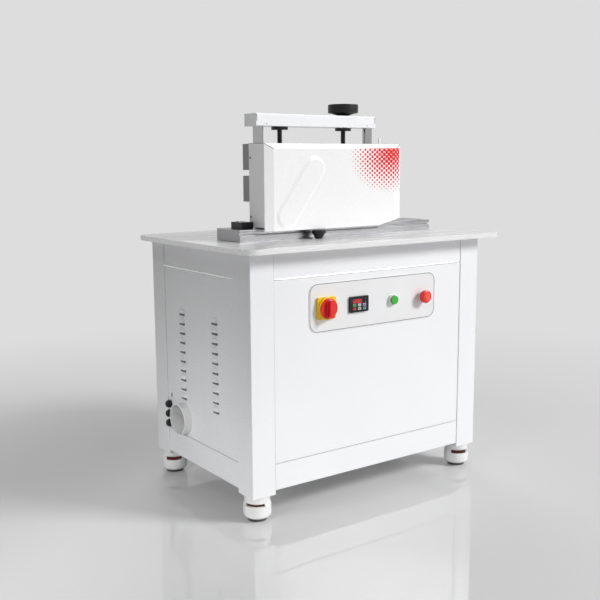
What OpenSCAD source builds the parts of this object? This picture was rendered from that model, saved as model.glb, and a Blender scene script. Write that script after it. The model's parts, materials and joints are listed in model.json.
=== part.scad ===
// Acrylic polishing machine: a floor-standing cabinet with a metal table, a feed head on two
// chrome columns, an infeed and an outfeed rail, and a cutter that stands up through the table.
// Origin: centre of the table's footprint on the floor. X right, Y back, Z up, millimetres.

/* [Table] */
// Width of the table plate
table_w = 1000; // [960:1:1100]
// Depth of the table plate
table_d = 680; // [660:1:760]
// Thickness of the table plate
table_t = 15; // [12:1:25]
// Corner radius of the table plate
table_r = 48; // [20:1:60]

/* [Cabinet] */
// Width over the corner posts
cab_w = 892; // [860:1:920]
// Depth over the corner posts
cab_d = 596; // [570:1:620]
// Table overhang beyond the posts on the left
over_left = 42; // [35:1:60]
// Table overhang beyond the posts at the front
over_front = 50; // [30:1:70]
// Side of a square corner post
post_w = 80; // [70:1:90]
// Wall of a corner post
post_wall = 3; // [2:0.5:5]
// Height of a corner post
post_h = 705; // [690:1:760]
// Height of the feet below the posts
foot_h = 76; // [76:1:90]
// Depth of a frame rail
rail_tube_d = 30; // [20:1:34]
// Height of a frame rail
rail_tube_h = 38; // [30:1:45]
// Wall of a frame rail
rail_tube_wall = 3; // [2:0.5:4]

/* [Panels] */
// Sheet thickness of the panels
sheet_t = 2; // [1.5:0.1:3]
// Depth of a panel's folded edge
pan_depth = 12; // [10:1:16]
// Set back of a panel face behind the posts
pan_recess = 2; // [0.5:0.1:4]
// Height of the posts' free end below the panels
pan_lift = 12; // [8:1:20]
// Width of a pressed fold line
fold_w = 3; // [2:0.5:5]
// Depth of a pressed fold line
fold_depth = 1; // [0.5:0.1:1.2]
// Distance from the table down to the upper fold line
fold_top = 78; // [60:1:90]
// Distance from the table down to the lower fold line
fold_low = 614; // [600:1:640]

/* [Louvres] */
// Number of louvre rows
louvre_rows = 10; // [4:1:11]
// Number of louvre columns
louvre_cols = 2; // [1:1:2]
// Distance between louvre rows
louvre_pitch = 30; // [26:1:31]
// Distance between louvre columns
louvre_gap = 202; // [150:1:230]
// Width of a louvre
louvre_w = 40; // [30:1:60]
// Height of a louvre
louvre_h = 14; // [10:1:18]
// How far a louvre stands out
louvre_out = 6; // [4:0.5:8]
// Distance from the table down to the first louvre
louvre_top = 218; // [200:1:230]

/* [Controls] */
// Width of the control plate
plate_w = 498; // [480:1:520]
// Height of the control plate
plate_h = 147; // [120:1:160]
// Thickness of the control plate
plate_t = 1.5; // [1:0.1:2]
// Corner radius of the control plate
plate_r = 30; // [10:1:40]
// Distance from the table down to the middle of the control plate
plate_drop = 174; // [170:1:190]
// Side of the yellow switch plate
switch_w = 66; // [60:1:75]
// Thickness of the yellow switch plate
switch_t = 8; // [6:1:14]
// Diameter of the red switch knob
switch_knob_d = 60; // [50:1:62]
// Width of the meter bezel
meter_w = 72; // [68:1:80]
// Height of the meter bezel
meter_h = 48; // [44:1:56]
// How far the meter bezel stands out
meter_t = 6; // [4:0.5:10]
// Diameter of a push-button bezel
bezel_d = 34; // [30:1:38]
// Diameter of the stop button's mushroom
mushroom_d = 41; // [35:1:45]
// Diameter of the panel hole of a push button
button_hole_d = 22.3; // [22:0.1:23]

/* [Feet] */
// Diameter of a foot housing
foot_d = 82; // [70:1:84]
// Diameter of a foot's pad
pad_d = 56; // [45:1:66]
// Height of a foot's pad
pad_h = 9; // [6:1:11]
// Diameter of a foot's stud
stud_d = 16; // [12:1:20]
// Height of the window over the floor
window_z = 47; // [40:1:50]
// Height of the window
window_h = 9.5; // [8:0.5:12]

/* [Rails on the table] */
// Length of the infeed rail
infeed_l = 525; // [480:1:528]
// Depth of the rails
bar_d = 131; // [120:1:140]
// Height of the rails
bar_h = 35; // [30:1:38]
// Length of the outfeed rail
outfeed_l = 231; // [180:1:260]
// Diameter of the rail knob
rail_knob_d = 44; // [36:1:50]
// Height of the rail knob above the table
rail_knob_h = 26; // [22:1:27]

/* [Head] */
// Width of the head cover
head_w = 528; // [515:1:540]
// Depth of the head cover behind its bevel
head_d = 82; // [78:1:90]
// Height of the head cover
head_h = 257; // [250:1:262]
// Sheet thickness of the head cover
head_t = 2; // [1.5:0.1:3]
// Gap between the table and the head cover
head_gap = 29.5; // [28:0.5:34]
// How far the front of the head cover stands out of its bevel
bevel_out = 8; // [4:1:12]
// Width of the bevel at the sides
bevel_side = 29; // [15:1:40]
// Width of the bevel at the top
bevel_top = 16; // [8:1:24]
// Width of the cut-off lower right corner
corner_w = 95; // [60:1:110]
// Height of the cut-off lower right corner
corner_h = 20; // [10:1:28]
// Thickness of the head's back plate
back_t = 12; // [8:1:14]
// Distance between the columns
col_gap = 427; // [415:1:431]
// Diameter of a column
col_d = 32; // [28:1:34]
// Width of a bearing block
block_w = 80; // [70:1:84]
// Depth of a bearing block
block_d = 51; // [46:1:56]
// Height of a bearing block
block_h = 78; // [70:1:84]

/* [Beam and lift] */
// Length of the beam
beam_w = 464; // [464:1:480]
// Depth of the beam
beam_d = 67; // [64:1:76]
// Height of the beam
beam_h = 38; // [34:1:44]
// Gap between the table and the beam
beam_gap = 339; // [337:1:350]
// Distance between the lift screws
screw_gap = 249; // [240:1:256]
// Diameter of a lift screw
screw_d = 16; // [14:1:18]
// Diameter of a screw bearing
bearing_d = 52; // [44:1:60]
// Height of a screw bearing
bearing_h = 9; // [7:1:12]
// Diameter of the handwheel
wheel_d = 98; // [80:1:110]
// Height of the handwheel's rim
wheel_h = 28; // [20:1:34]
// Height of the handwheel's cone
wheel_cone_h = 9; // [7:1:14]

/* [Feed and cutter] */
// Diameter of a belt roller
roller_d = 58; // [50:1:60]
// Width of a belt roller
roller_w = 46; // [36:1:50]
// Thickness of the feed belt
belt_t = 4; // [3:0.5:5]
// Gap between the rails and the lowered feed belt
work_gap = 6; // [5:0.5:8]
// Diameter of the cutter head
cutter_d = 58; // [50:1:60]
// Thickness of the cutter head
cutter_t = 14; // [10:1:16]
// Diameter of the cutter shaft
spindle_d = 20; // [16:1:22]
// Diameter of the spindle motor
motor_d = 130; // [110:1:140]
// Length of the spindle motor
motor_l = 210; // [180:1:240]

/* [Dust and cable entries] */
// Outer diameter of the dust port
port_d = 100; // [90:1:104]
// How far the dust port stands out
port_out = 27; // [20:1:34]
// Outer diameter of the inner hose
hose_d = 76; // [70:1:80]
// Bend radius of the inner hose
hose_bend = 90; // [80:1:100]
// Distance between the cable glands
gland_pitch = 32; // [30:1:34]
// Diameter of a cable gland's cap
gland_d = 24; // [20:1:26]

/* [Fits] */
// Gap between pieces that are seated on each other
seat = 0.2; // [0.1:0.05:0.3]
// Radial clearance of a running fit
run = 0.05; // [0.02:0.01:0.1]
// Radial clearance of a loose hole
loose = 1; // [0.5:0.1:1.5]

/* [Hidden] */

// Facets of round shapes
fn_round = 64;
fn_small = 32;
// One overrun for every cut
over = 5;

// Levels of the stand and the table
table_z = foot_h + post_h;
top_z = table_z + table_t;

// Corners of the cabinet
cab_x0 = -table_w/2 + over_left;
cab_x1 = cab_x0 + cab_w;
cab_y0 = -table_d/2 + over_front;
cab_y1 = cab_y0 + cab_d;
cab_cx = (cab_x0 + cab_x1)/2;
cab_cy = (cab_y0 + cab_y1)/2;

// Faces of the panels and of the frame rails behind them
pan_face = pan_recess;
pan_back = pan_face + pan_depth;
rail_face = pan_back + seat;
pan_z0 = foot_h + pan_lift;
pan_h = post_h - pan_lift - seat;
front_pan_w = cab_w - 2*post_w - 2*seat;
side_pan_w = cab_d - 2*post_w - 2*seat;
low_rail_z = pan_z0 + sheet_t + seat;
top_rail_z = table_z - seat - rail_tube_h;

// Places of the controls on their plate
plate_shift = 4;
control_drop = 1;
switch_shift = 190;
meter_shift = 67;
start_shift = 69;
stop_shift = 192;
plate_cx = cab_cx + plate_shift;
plate_cz = table_z - plate_drop;
control_z = plate_cz - control_drop;
switch_x = plate_cx - switch_shift;
meter_x = plate_cx - meter_shift;
start_x = plate_cx + start_shift;
stop_x = plate_cx + stop_shift;
panel_y = cab_y0 + pan_face;
plate_y = panel_y - plate_t;

// Places of the head, its columns and its screws, from the middle of the cabinet
gantry_set = 38;
gantry_x = cab_cx - gantry_set;
col_set = 48;
col_y = cab_cy - col_set;
screw_set = 15;
screw_y = col_y + screw_set;
col_xs = [gantry_x - col_gap/2, gantry_x + col_gap/2];
screw_xs = [gantry_x - screw_gap/2, gantry_x + screw_gap/2];
head_rear = col_y - block_d/2 - seat;
head_edge_y = head_rear - head_d;
head_front = head_edge_y - bevel_out;
head_x0 = gantry_x - head_w/2;
head_x1 = gantry_x + head_w/2;
head_z0 = top_z + head_gap;
head_z1 = head_z0 + head_h;
plate_front = head_rear - back_t;
beam_z = top_z + beam_gap;
beam_set = 20;
beam_y0 = col_y - beam_set;
beam_wall = 5;
beam_end = 40;

// Places of the rails on the table
bar_set = 84;
bar_y0 = col_y - bar_set;
infeed_reach = 189;
infeed_x1 = gantry_x + infeed_reach;
infeed_x0 = infeed_x1 - infeed_l;
rail_split = 6;
outfeed_x0 = infeed_x1 + rail_split;
outfeed_set = 7;
bar_top = top_z + bar_h;

// Places of the cutter and its motor
cutter_shift = 112;
cutter_x = gantry_x + cutter_shift;
cutter_set = 35;
cutter_y = col_y - cutter_set;
cutter_clear = 4;
cutter_proud = 0.2;
bracket_drop = 90;
bracket_t = 12;
bracket_w = 170;
pillar_d = 16;
hood_d = 116;
hood_wall = 3;
stub_l = 25;

// Dust port, glands and their wall
gland_inset = 96;
gland_y = cab_y1 - gland_inset;
port_inset = 96;
port_y = gland_y - port_inset;
port_rise = 134;
port_drop = post_h - pan_lift - port_rise;
port_z = table_z - port_drop;
port_wall = 3;
port_inner_l = 56;
gland_over = 27;
gland_drop = port_drop - gland_over;
gland_z = table_z - gland_drop;

// Shared shapes

module rounded(w, h, r) {
    square([w, h - 2*r], center = true);
    square([w - 2*r, h], center = true);
    for (x = [-w/2 + r, w/2 - r], y = [-h/2 + r, h/2 - r])
        translate([x, y]) circle(r = r, $fn = fn_small);
}

module stadium(l, r) {
    square([l, 2*r], center = true);
    for (x = [-l/2, l/2]) translate([x, 0]) circle(r = r, $fn = fn_round);
}

// A flat shape pushed out towards the front, from the plane y
module out_front(x, y, z, depth) {
    translate([x, y, z]) rotate([90, 0, 0]) linear_extrude(depth) children();
}

module rod_front(x, y, z, d, l) {
    translate([x, y, z]) rotate([90, 0, 0]) cylinder(d = d, h = l, $fn = fn_round);
}

module rod_left(x, y, z, d, l) {
    translate([x, y, z]) rotate([0, -90, 0]) cylinder(d = d, h = l, $fn = fn_round);
}

module rod_up(x, y, z, d, l) {
    translate([x, y, z]) cylinder(d = d, h = l, $fn = fn_round);
}

module tube_bar(size, wall, along) {
    difference() {
        cube(size);
        translate([along == 0 ? -over : wall, along == 1 ? -over : wall, along == 2 ? -over : wall])
            cube([size[0] + (along == 0 ? 2*over : -2*wall),
                  size[1] + (along == 1 ? 2*over : -2*wall),
                  size[2] + (along == 2 ? 2*over : -2*wall)]);
    }
}

// Cabinet

post_floor = 6;
stud_reach = 34;

module post(x, y) {
    difference() {
        translate([x, y, foot_h]) cube([post_w, post_w, post_h - seat]);
        translate([x + post_wall, y + post_wall, foot_h + post_floor])
            cube([post_w - 2*post_wall, post_w - 2*post_wall, post_h]);
        rod_up(x + post_w/2, y + post_w/2, foot_h - over, stud_d + 2*seat, post_floor + 2*over);
    }
}

module machine_frame() {
    color("whitesmoke") difference() {
        union() {
            for (x = [cab_x0, cab_x1 - post_w], y = [cab_y0, cab_y1 - post_w]) post(x, y);
            for (z = [low_rail_z, top_rail_z]) {
                for (y = [cab_y0 + rail_face, cab_y1 - rail_face - rail_tube_d])
                    translate([cab_x0 + post_w + seat, y, z])
                        tube_bar([front_pan_w, rail_tube_d, rail_tube_h], rail_tube_wall, 0);
                for (x = [cab_x0 + rail_face, cab_x1 - rail_face - rail_tube_d])
                    translate([x, cab_y0 + post_w + seat, z])
                        tube_bar([rail_tube_d, side_pan_w, rail_tube_h], rail_tube_wall, 1);
            }
        }
        for (p = table_screws) rod_up(p[0], p[1], top_rail_z - over, bolt_d + 2*seat, rail_tube_h + 2*over);
    }
}

// A folded sheet panel, its face on y = 0 and its edges turned in towards +Y
module pan(w) {
    difference() {
        translate([-w/2, 0, pan_z0]) cube([w, pan_depth, pan_h]);
        translate([-w/2 + sheet_t, sheet_t, pan_z0 + sheet_t])
            cube([w - 2*sheet_t, pan_depth, pan_h - 2*sheet_t]);
        for (z = [table_z - fold_top, table_z - fold_low])
            translate([-w/2 - over, -over, z - fold_w/2]) cube([w + 2*over, over + fold_depth, fold_w]);
    }
}

// Openings of the front panel
switch_barrel_d = 30;
meter_body_w = 68;
meter_body_h = 44;

module control_holes(y, depth, spare) {
    rod_front(switch_x, y, control_z, switch_barrel_d + 2*spare, depth);
    out_front(meter_x, y, control_z, depth)
        square([meter_body_w + 2*spare, meter_body_h + 2*spare], center = true);
    for (x = [start_x, stop_x]) rod_front(x, y, control_z, button_hole_d, depth);
}

module front_panel() {
    color("whitesmoke") difference() {
        translate([cab_cx, panel_y, 0]) pan(front_pan_w);
        control_holes(panel_y + sheet_t + over, sheet_t + 2*over, seat);
    }
}

module rear_panel() {
    color("whitesmoke") difference() {
        translate([cab_cx, cab_y1 - pan_face, 0]) rotate([0, 0, 180]) pan(front_pan_w);
        for (x = rear_screw_xs, z = rear_screw_zs)
            rod_front(x, cab_y1 + over, z, rear_screw_d, pan_depth + 2*over);
    }
}

module right_panel() {
    color("whitesmoke") translate([cab_x1 - pan_face, cab_cy, 0]) rotate([0, 0, 90]) pan(side_pan_w);
}

// One pressed louvre: a hood that is open underneath, at the origin, standing out towards -Y
hood_skin = 1;

module louvre() {
    difference() {
        translate([-louvre_w/2, 0, 0]) rotate([90, 0, 90]) linear_extrude(louvre_w)
            polygon([[0, 0], [-louvre_out, 0], [-louvre_out, hood_skin], [0, louvre_h]]);
        translate([-louvre_w/2 + hood_skin, 0, 0]) rotate([90, 0, 90])
            linear_extrude(louvre_w - 2*hood_skin)
            polygon([[over, -over], [-louvre_out + hood_skin, -over], [-louvre_out + hood_skin, 0],
                     [0, louvre_h - 2*hood_skin], [over, louvre_h - 2*hood_skin]]);
    }
}

louvre_shift = 5;
slot_w = 6;
slot_h = 13;
slot_set = 11;
slot_y = gland_y - slot_set;
slot_drop = gland_drop - gland_pitch;
slot_z = table_z - slot_drop;

// As many louvres in a column as there is room for above the dust port
module louvre_places() {
    rows = min(louvre_rows, 1 + floor((port_drop - port_flange_d/2 - louvre_top)/louvre_pitch));
    for (i = [0 : louvre_cols - 1], k = [0 : rows - 1])
        translate([(i - (louvre_cols - 1)/2)*louvre_gap - louvre_shift, 0,
                   table_z - louvre_top - k*louvre_pitch]) children();
}

module left_panel() {
    color("gainsboro") translate([cab_x0 + pan_face, cab_cy, 0]) rotate([0, 0, -90]) {
        difference() {
            pan(side_pan_w);
            louvre_places() translate([-louvre_w/2 + hood_skin, -over, 0])
                cube([louvre_w - 2*hood_skin, sheet_t + 2*over, louvre_h - 2*hood_skin]);
            rod_front(cab_cy - port_y, sheet_t + over, port_z, port_d + 2*seat, sheet_t + 2*over);
            for (k = [0 : 2])
                rod_front(cab_cy - gland_y, sheet_t + over, gland_z - k*gland_pitch,
                          gland_thread_d + 2*seat, sheet_t + 2*over);
            translate([cab_cy - slot_y - slot_w/2, -over, slot_z - slot_h/2])
                cube([slot_w, sheet_t + 2*over, slot_h]);
        }
        louvre_places() louvre();
    }
}

tray_inset = 10;

module bottom_tray() {
    z = low_rail_z + rail_tube_h + seat;
    color("whitesmoke") {
        translate([cab_x0 + post_w + seat, cab_y0 + rail_face + tray_inset, z])
            cube([front_pan_w, cab_d - 2*rail_face - 2*tray_inset, sheet_t]);
        translate([cab_x0 + rail_face + tray_inset, cab_y0 + post_w + seat, z])
            cube([cab_w - 2*rail_face - 2*tray_inset, side_pan_w, sheet_t]);
    }
}

// Table

shaft_d = 12;
dowel_d = 16;
knob_shift = 73;
knob_x = gantry_x - knob_shift;
knob_set = 117;
knob_y = col_y - knob_set;
dowel_shift = 80;
dowel_xs = [knob_x - dowel_shift, knob_x + dowel_shift];
dowel_y = cutter_y;
table_clear = 2;
cutter_hole_d = cutter_d + 2*cutter_clear + 2*table_clear;

module table_top() {
    color("silver") difference() {
        translate([0, 0, table_z]) linear_extrude(table_t) rounded(table_w, table_d, table_r);
        for (x = col_xs) rod_up(x, col_y, table_z - over, col_d + 2*run, table_t + 2*over);
        rod_up(cutter_x, cutter_y, table_z - over, cutter_hole_d, table_t + 2*over);
        rod_up(knob_x, knob_y, table_z - over, shaft_d + 2*run, table_t + 2*over);
        for (x = dowel_xs) rod_up(x, dowel_y, table_z - over, dowel_d + 2*run, table_t + 2*over);
        for (p = table_screws) rod_up(p[0], p[1], table_z - over, bolt_d + 2*seat, over + bolt_reach + seat);
    }
}

// Socket screws: up into the table, down through the outfeed rail, and in the rear panel

bolt_d = 8;
bolt_head_d = 14;
bolt_head_h = 6;
bolt_socket_d = 7;
bolt_socket_h = 4;
bolt_l = 24;
table_screws = [for (x = [cab_x0 + rail_face + rail_tube_d/2, cab_x1 - rail_face - rail_tube_d/2],
                     y = [cab_y0 + 2*post_w, cab_y1 - 2*post_w]) [x, y],
                for (x = [cab_x0 + 2*post_w, cab_x1 - 2*post_w],
                     y = [cab_y0 + rail_face + rail_tube_d/2, cab_y1 - rail_face - rail_tube_d/2]) [x, y]];
bolt_reach = 10;
outfeed_bolt_in = 90;
outfeed_bolt_out = 25;
outfeed_bolt_front = 34;
outfeed_bolt_back = 110;
outfeed_screws = [for (x = [outfeed_x0 + outfeed_bolt_in, outfeed_x0 + outfeed_l - outfeed_bolt_out],
                       y = [bar_y0 + outfeed_bolt_front, bar_y0 + outfeed_bolt_back]) [x, y]];
rear_screw_d = 6;
rear_screw_head_d = 12;
rear_screw_head_h = 3;
rear_screw_in = 40;
rear_screw_xs = [cab_cx - front_pan_w/2 + rear_screw_in, cab_cx + front_pan_w/2 - rear_screw_in];
rear_screw_zs = [low_rail_z + rail_tube_h/2, top_rail_z + rail_tube_h/2];

// A socket screw with its head's top on z = 0, pointing down
module socket_screw(l) {
    difference() {
        union() {
            translate([0, 0, -bolt_head_h]) cylinder(d = bolt_head_d, h = bolt_head_h, $fn = fn_small);
            translate([0, 0, -bolt_head_h - l]) cylinder(d = bolt_d, h = l + seat, $fn = fn_small);
        }
        translate([0, 0, -bolt_socket_h])
            cylinder(d = bolt_socket_d, h = bolt_socket_h + over, $fn = 6);
    }
}

module rear_screw(x, z) {
    rod_front(x, cab_y1 - pan_face + seat + rear_screw_head_h, z, rear_screw_head_d, rear_screw_head_h);
    rod_front(x, cab_y1 - pan_face + 2*seat, z, rear_screw_d - 2*seat, pan_depth);
}

module socket_screws() {
    color("dimgray") {
        for (p = table_screws) translate([p[0], p[1], top_rail_z - seat - bolt_head_h])
            mirror([0, 0, 1]) socket_screw(rail_tube_h + 2*seat + bolt_reach);
        for (p = outfeed_screws) translate([p[0], p[1], bar_top]) socket_screw(bolt_l);
        for (x = rear_screw_xs, z = rear_screw_zs) rear_screw(x, z);
    }
}

// Controls

module control_plate() {
    color("lightgray") difference() {
        out_front(plate_cx, panel_y, plate_cz, plate_t) rounded(plate_w, plate_h, plate_r);
        control_holes(panel_y + over, plate_t + 2*over, seat);
    }
}

switch_r = 5;
switch_body = 50;
switch_body_l = 45;
switch_neck_l = 14;
switch_shaft_d = 8;
grip_l = 54;
grip_w = 17;
grip_out = 16;
disc_out = 12;
switch_ring_wall = 2.6;
switch_ring_out = 8;
switch_ring_gap = 0.5;

module switch_base() {
    ring_bore = switch_knob_d + 2*switch_ring_gap;
    color("gold") difference() {
        union() {
            out_front(switch_x, plate_y - seat, control_z, switch_t) rounded(switch_w, switch_w, switch_r);
            rod_front(switch_x, plate_y - seat, control_z, ring_bore + 2*switch_ring_wall,
                      switch_t + switch_ring_out);
            rod_front(switch_x, panel_y + switch_neck_l, control_z, switch_barrel_d,
                      switch_neck_l + plate_t + 2*seat);
            out_front(switch_x, panel_y + switch_neck_l + switch_body_l, control_z, switch_body_l)
                rounded(switch_body, switch_body, switch_r);
        }
        rod_front(switch_x, panel_y + switch_neck_l, control_z, switch_shaft_d + 2*run,
                  switch_neck_l + plate_t + switch_t + over);
        rod_front(switch_x, plate_y - seat - switch_t, control_z, ring_bore, switch_ring_out + over);
    }
}

module switch_knob() {
    y = plate_y - switch_t - 2*seat;
    color("red") {
        rod_front(switch_x, y, control_z, switch_knob_d, disc_out);
        out_front(switch_x, y - disc_out + seat, control_z, grip_out)
            rounded(grip_w, grip_l, grip_w/2 - seat);
        rod_front(switch_x, y + switch_t + switch_neck_l, control_z, switch_shaft_d,
                  switch_t + switch_neck_l + seat);
    }
}

meter_r = 4;
meter_body_l = 80;
window_w = 46;
window_d = 1;
display_h = 16;
display_x = 8;
display_up = 9;
key_w = 12;
key_h = 8;
key_out = 1.5;
key_r = 1.2;
key_deep = 3;
key_gap = 0.3;
key_pitch_x = 19;
key_pitch_z = 11;
key_drop = 8;

function key_x(i) = meter_x + (i % 3 - 1)*key_pitch_x;
function key_z(i) = control_z - key_drop + (i < 3 ? key_pitch_z/2 : -key_pitch_z/2);

module meter_body() {
    face = plate_y - seat - meter_t;
    color("black") difference() {
        union() {
            out_front(meter_x, plate_y - seat, control_z, meter_t) rounded(meter_w, meter_h, meter_r);
            out_front(meter_x, panel_y + meter_body_l, control_z, meter_body_l + plate_t + 2*seat)
                square([meter_body_w - 2*seat, meter_body_h - 2*seat], center = true);
        }
        out_front(meter_x - display_x, face + window_d, control_z + display_up, window_d + over)
            square([window_w, display_h], center = true);
        for (i = [0 : 5])
            out_front(key_x(i), face + key_deep, key_z(i), key_deep + over)
                square([key_w + 2*key_gap, key_h + 2*key_gap], center = true);
    }
}

module meter_key(i, tint) {
    face = plate_y - seat - meter_t;
    color(tint) out_front(key_x(i), face + key_deep - key_travel - seat, key_z(i),
                          key_deep - key_travel - seat + key_out)
        rounded(key_w, key_h, key_r);
}

key_travel = 0.5;
module meter_key_1() { meter_key(0, "green"); }
module meter_key_2() { meter_key(1, "white"); }
module meter_key_3() { meter_key(2, "lavender"); }
module meter_key_4() { meter_key(3, "crimson"); }
module meter_key_5() { meter_key(4, "white"); }
module meter_key_6() { meter_key(5, "lightcyan"); }

bezel_out = 8;
barrel_l = 30;
contact_w = 28;
contact_h = 34;
contact_l = 36;
cap_d = 27;
cap_out = 6;
cap_stem_d = 14;
cap_deep = 5;

// A push button's body: the ring in front, the barrel through the panel and the contact block
module button_body(x, ring_d, ring_out, bore) {
    difference() {
        union() {
            rod_front(x, plate_y - seat, control_z, ring_d, ring_out);
            rod_front(x, panel_y + barrel_l, control_z, button_hole_d - 2*seat,
                      barrel_l + plate_t + 2*seat);
            out_front(x, panel_y + barrel_l + contact_l, control_z, contact_l + seat)
                rounded(contact_w, contact_h, switch_r);
        }
        rod_front(x, panel_y + barrel_l - cap_deep, control_z, bore + 2*run, barrel_l + ring_out + over);
        rod_front(x, plate_y - seat - ring_out + cap_deep, control_z, cap_d + 2*run, cap_deep + over);
    }
}

module start_bezel() { color("white") button_body(start_x, bezel_d, bezel_out, cap_stem_d); }

module start_cap() {
    y = plate_y - seat - bezel_out;
    color("limegreen") {
        rod_front(start_x, y + cap_deep - cap_travel - seat, control_z, cap_d,
                  cap_deep - cap_travel - seat + cap_out);
        rod_front(start_x, y + cap_deep + barrel_l/2, control_z, cap_stem_d,
                  barrel_l/2 + cap_travel + 2*seat);
    }
}

cap_travel = 3;
stop_ring_d = 30;
collar_out = 6;
stem_d = 12;
stem_tip_d = 8;
mushroom_t = 12;
stop_travel = 4;
mushroom_spare = 1;
mushroom_gap = stop_travel + mushroom_spare;
// Profile of the mushroom, as shares of its radius and of its thickness
mushroom_shares = [[0, 0], [0.8, 0], [1, 0.15], [1, 0.9], [0.92, 1.15], [0.6, 1.34], [0, 1.4]];

module stop_collar() { color("lightgray") button_body(stop_x, stop_ring_d, collar_out, stem_d); }

module stop_stem() {
    y = plate_y - seat - collar_out;
    color("dimgray") {
        rod_front(stop_x, y + cap_deep + barrel_l/2, control_z, stem_d,
                  barrel_l/2 + cap_deep + mushroom_gap - seat);
        rod_front(stop_x, y - mushroom_gap + 2*seat, control_z, stem_tip_d, mushroom_t + seat);
    }
}

module stop_mushroom() {
    y = plate_y - seat - collar_out - mushroom_gap;
    color("red") difference() {
        translate([stop_x, y, control_z]) rotate([90, 0, 0]) rotate_extrude($fn = fn_round)
            polygon([for (p = mushroom_shares) [p[0]*mushroom_d/2, p[1]*mushroom_t]]);
        rod_front(stop_x, y + over, control_z, stem_tip_d + 2*run, mushroom_t + over);
    }
}

// Feet

foot_neck_d = 76;
foot_round = 11;
window_angle = 100;
thumb_d = 66;
thumb_ribs = 24;
thumb_rib_d = 3;

function foot_x(side) = side < 0 ? cab_x0 + post_w/2 : cab_x1 - post_w/2;
function foot_y(side) = side < 0 ? cab_y0 + post_w/2 : cab_y1 - post_w/2;

// A foot's housing round its stud, with the window turned towards the corner of the cabinet
module foot_housing(sx, sy) {
    z0 = pad_h + seat;
    translate([foot_x(sx), foot_y(sy), 0]) difference() {
        rotate_extrude($fn = fn_round) polygon(concat(
            [[stud_d/2 + seat, z0], [foot_d/2 - foot_round, z0]],
            [for (a = [-75 : 15 : 0])
                [foot_d/2 - foot_round + foot_round*cos(a), z0 + foot_round + foot_round*sin(a)]],
            [[foot_d/2, window_z + window_h/4], [foot_neck_d/2, window_z + window_h*3/4],
             [foot_neck_d/2, foot_h - seat], [stud_d/2 + seat, foot_h - seat]]));
        rod_up(0, 0, window_z, thumb_d + 2*loose, window_h);
        rotate([0, 0, atan2(sy, sx) - window_angle/2]) translate([0, 0, window_z + seat])
            rotate_extrude(angle = window_angle, $fn = fn_round)
            translate([stud_d, 0]) square([foot_d, window_h - 2*seat]);
    }
}

module foot_housings() {
    color("ivory") for (sx = [-1, 1], sy = [-1, 1]) foot_housing(sx, sy);
}

module foot_pads() {
    color("black") for (sx = [-1, 1], sy = [-1, 1]) {
        rod_up(foot_x(sx), foot_y(sy), 0, pad_d, pad_h);
        rod_up(foot_x(sx), foot_y(sy), pad_h - seat, stud_d, foot_h - pad_h + stud_reach);
    }
}

module thumbwheel(sx, sy) {
    z = window_z + seat;
    h = window_h - 2*seat;
    color("firebrick") difference() {
        union() {
            rod_up(foot_x(sx), foot_y(sy), z, thumb_d - thumb_rib_d, h);
            for (k = [0 : thumb_ribs - 1])
                translate([foot_x(sx), foot_y(sy), z]) rotate([0, 0, k*360/thumb_ribs])
                    translate([(thumb_d - thumb_rib_d)/2, 0, 0])
                    cylinder(d = thumb_rib_d, h = h, $fn = 16);
        }
        rod_up(foot_x(sx), foot_y(sy), z - over, stud_d + 2*run, h + 2*over);
    }
}

module thumbwheel_fl() { thumbwheel(-1, -1); }
module thumbwheel_fr() { thumbwheel(1, -1); }
module thumbwheel_rl() { thumbwheel(-1, 1); }
module thumbwheel_rr() { thumbwheel(1, 1); }

// Dust port, hose and hood

// The port is a little thinner behind the panel
port_step = 1;
port_flange_d = 124;
port_flange_t = 3;
hose_wall = 3;
hose_y0 = cutter_y + hood_d/2 + stub_l;
hose_z1 = table_z - bracket_drop/2;
hose_turn = min(hose_bend, port_y - hose_y0 - hose_wall);

module dust_port() {
    x = cab_x0 + pan_face;
    color("white") difference() {
        union() {
            rod_left(x, port_y, port_z, port_d, port_out);
            rod_left(x + port_inner_l, port_y, port_z, port_d - 2*port_step, port_inner_l + seat);
            rod_left(x + sheet_t + seat + port_flange_t, port_y, port_z, port_flange_d, port_flange_t);
        }
        rod_left(x + port_inner_l - port_wall, port_y, port_z, port_d - 2*port_wall,
                 port_inner_l + port_out + over);
        rod_left(x + port_inner_l + over, port_y, port_z, hose_d - 2*hose_wall, port_inner_l);
    }
}

// The hose runs back from the hood, down, and left to the dust port
module hose_path(d, spare) {
    x0 = cab_x0 + pan_face + port_inner_l + seat - spare;
    y0 = hose_y0 + seat - spare;
    rod_front(cutter_x, port_y - hose_turn, hose_z1, d, port_y - hose_turn - y0);
    translate([cutter_x, port_y - hose_turn, hose_z1 - hose_turn]) rotate([90, 0, 90])
        rotate_extrude(angle = 90, $fn = fn_round) translate([hose_turn, 0]) circle(d = d, $fn = fn_small);
    rod_up(cutter_x, port_y, port_z + hose_turn, d, hose_z1 - port_z - 2*hose_turn);
    translate([cutter_x - hose_turn, port_y, port_z + hose_turn]) rotate([-90, 0, 0])
        rotate_extrude(angle = 90, $fn = fn_round) translate([hose_turn, 0]) circle(d = d, $fn = fn_small);
    rod_left(cutter_x - hose_turn, port_y, port_z, d, cutter_x - hose_turn - x0);
}

module duct_hose() {
    color("slategray") difference() {
        hose_path(hose_d, 0);
        hose_path(hose_d - 2*hose_wall, over);
    }
}

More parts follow.
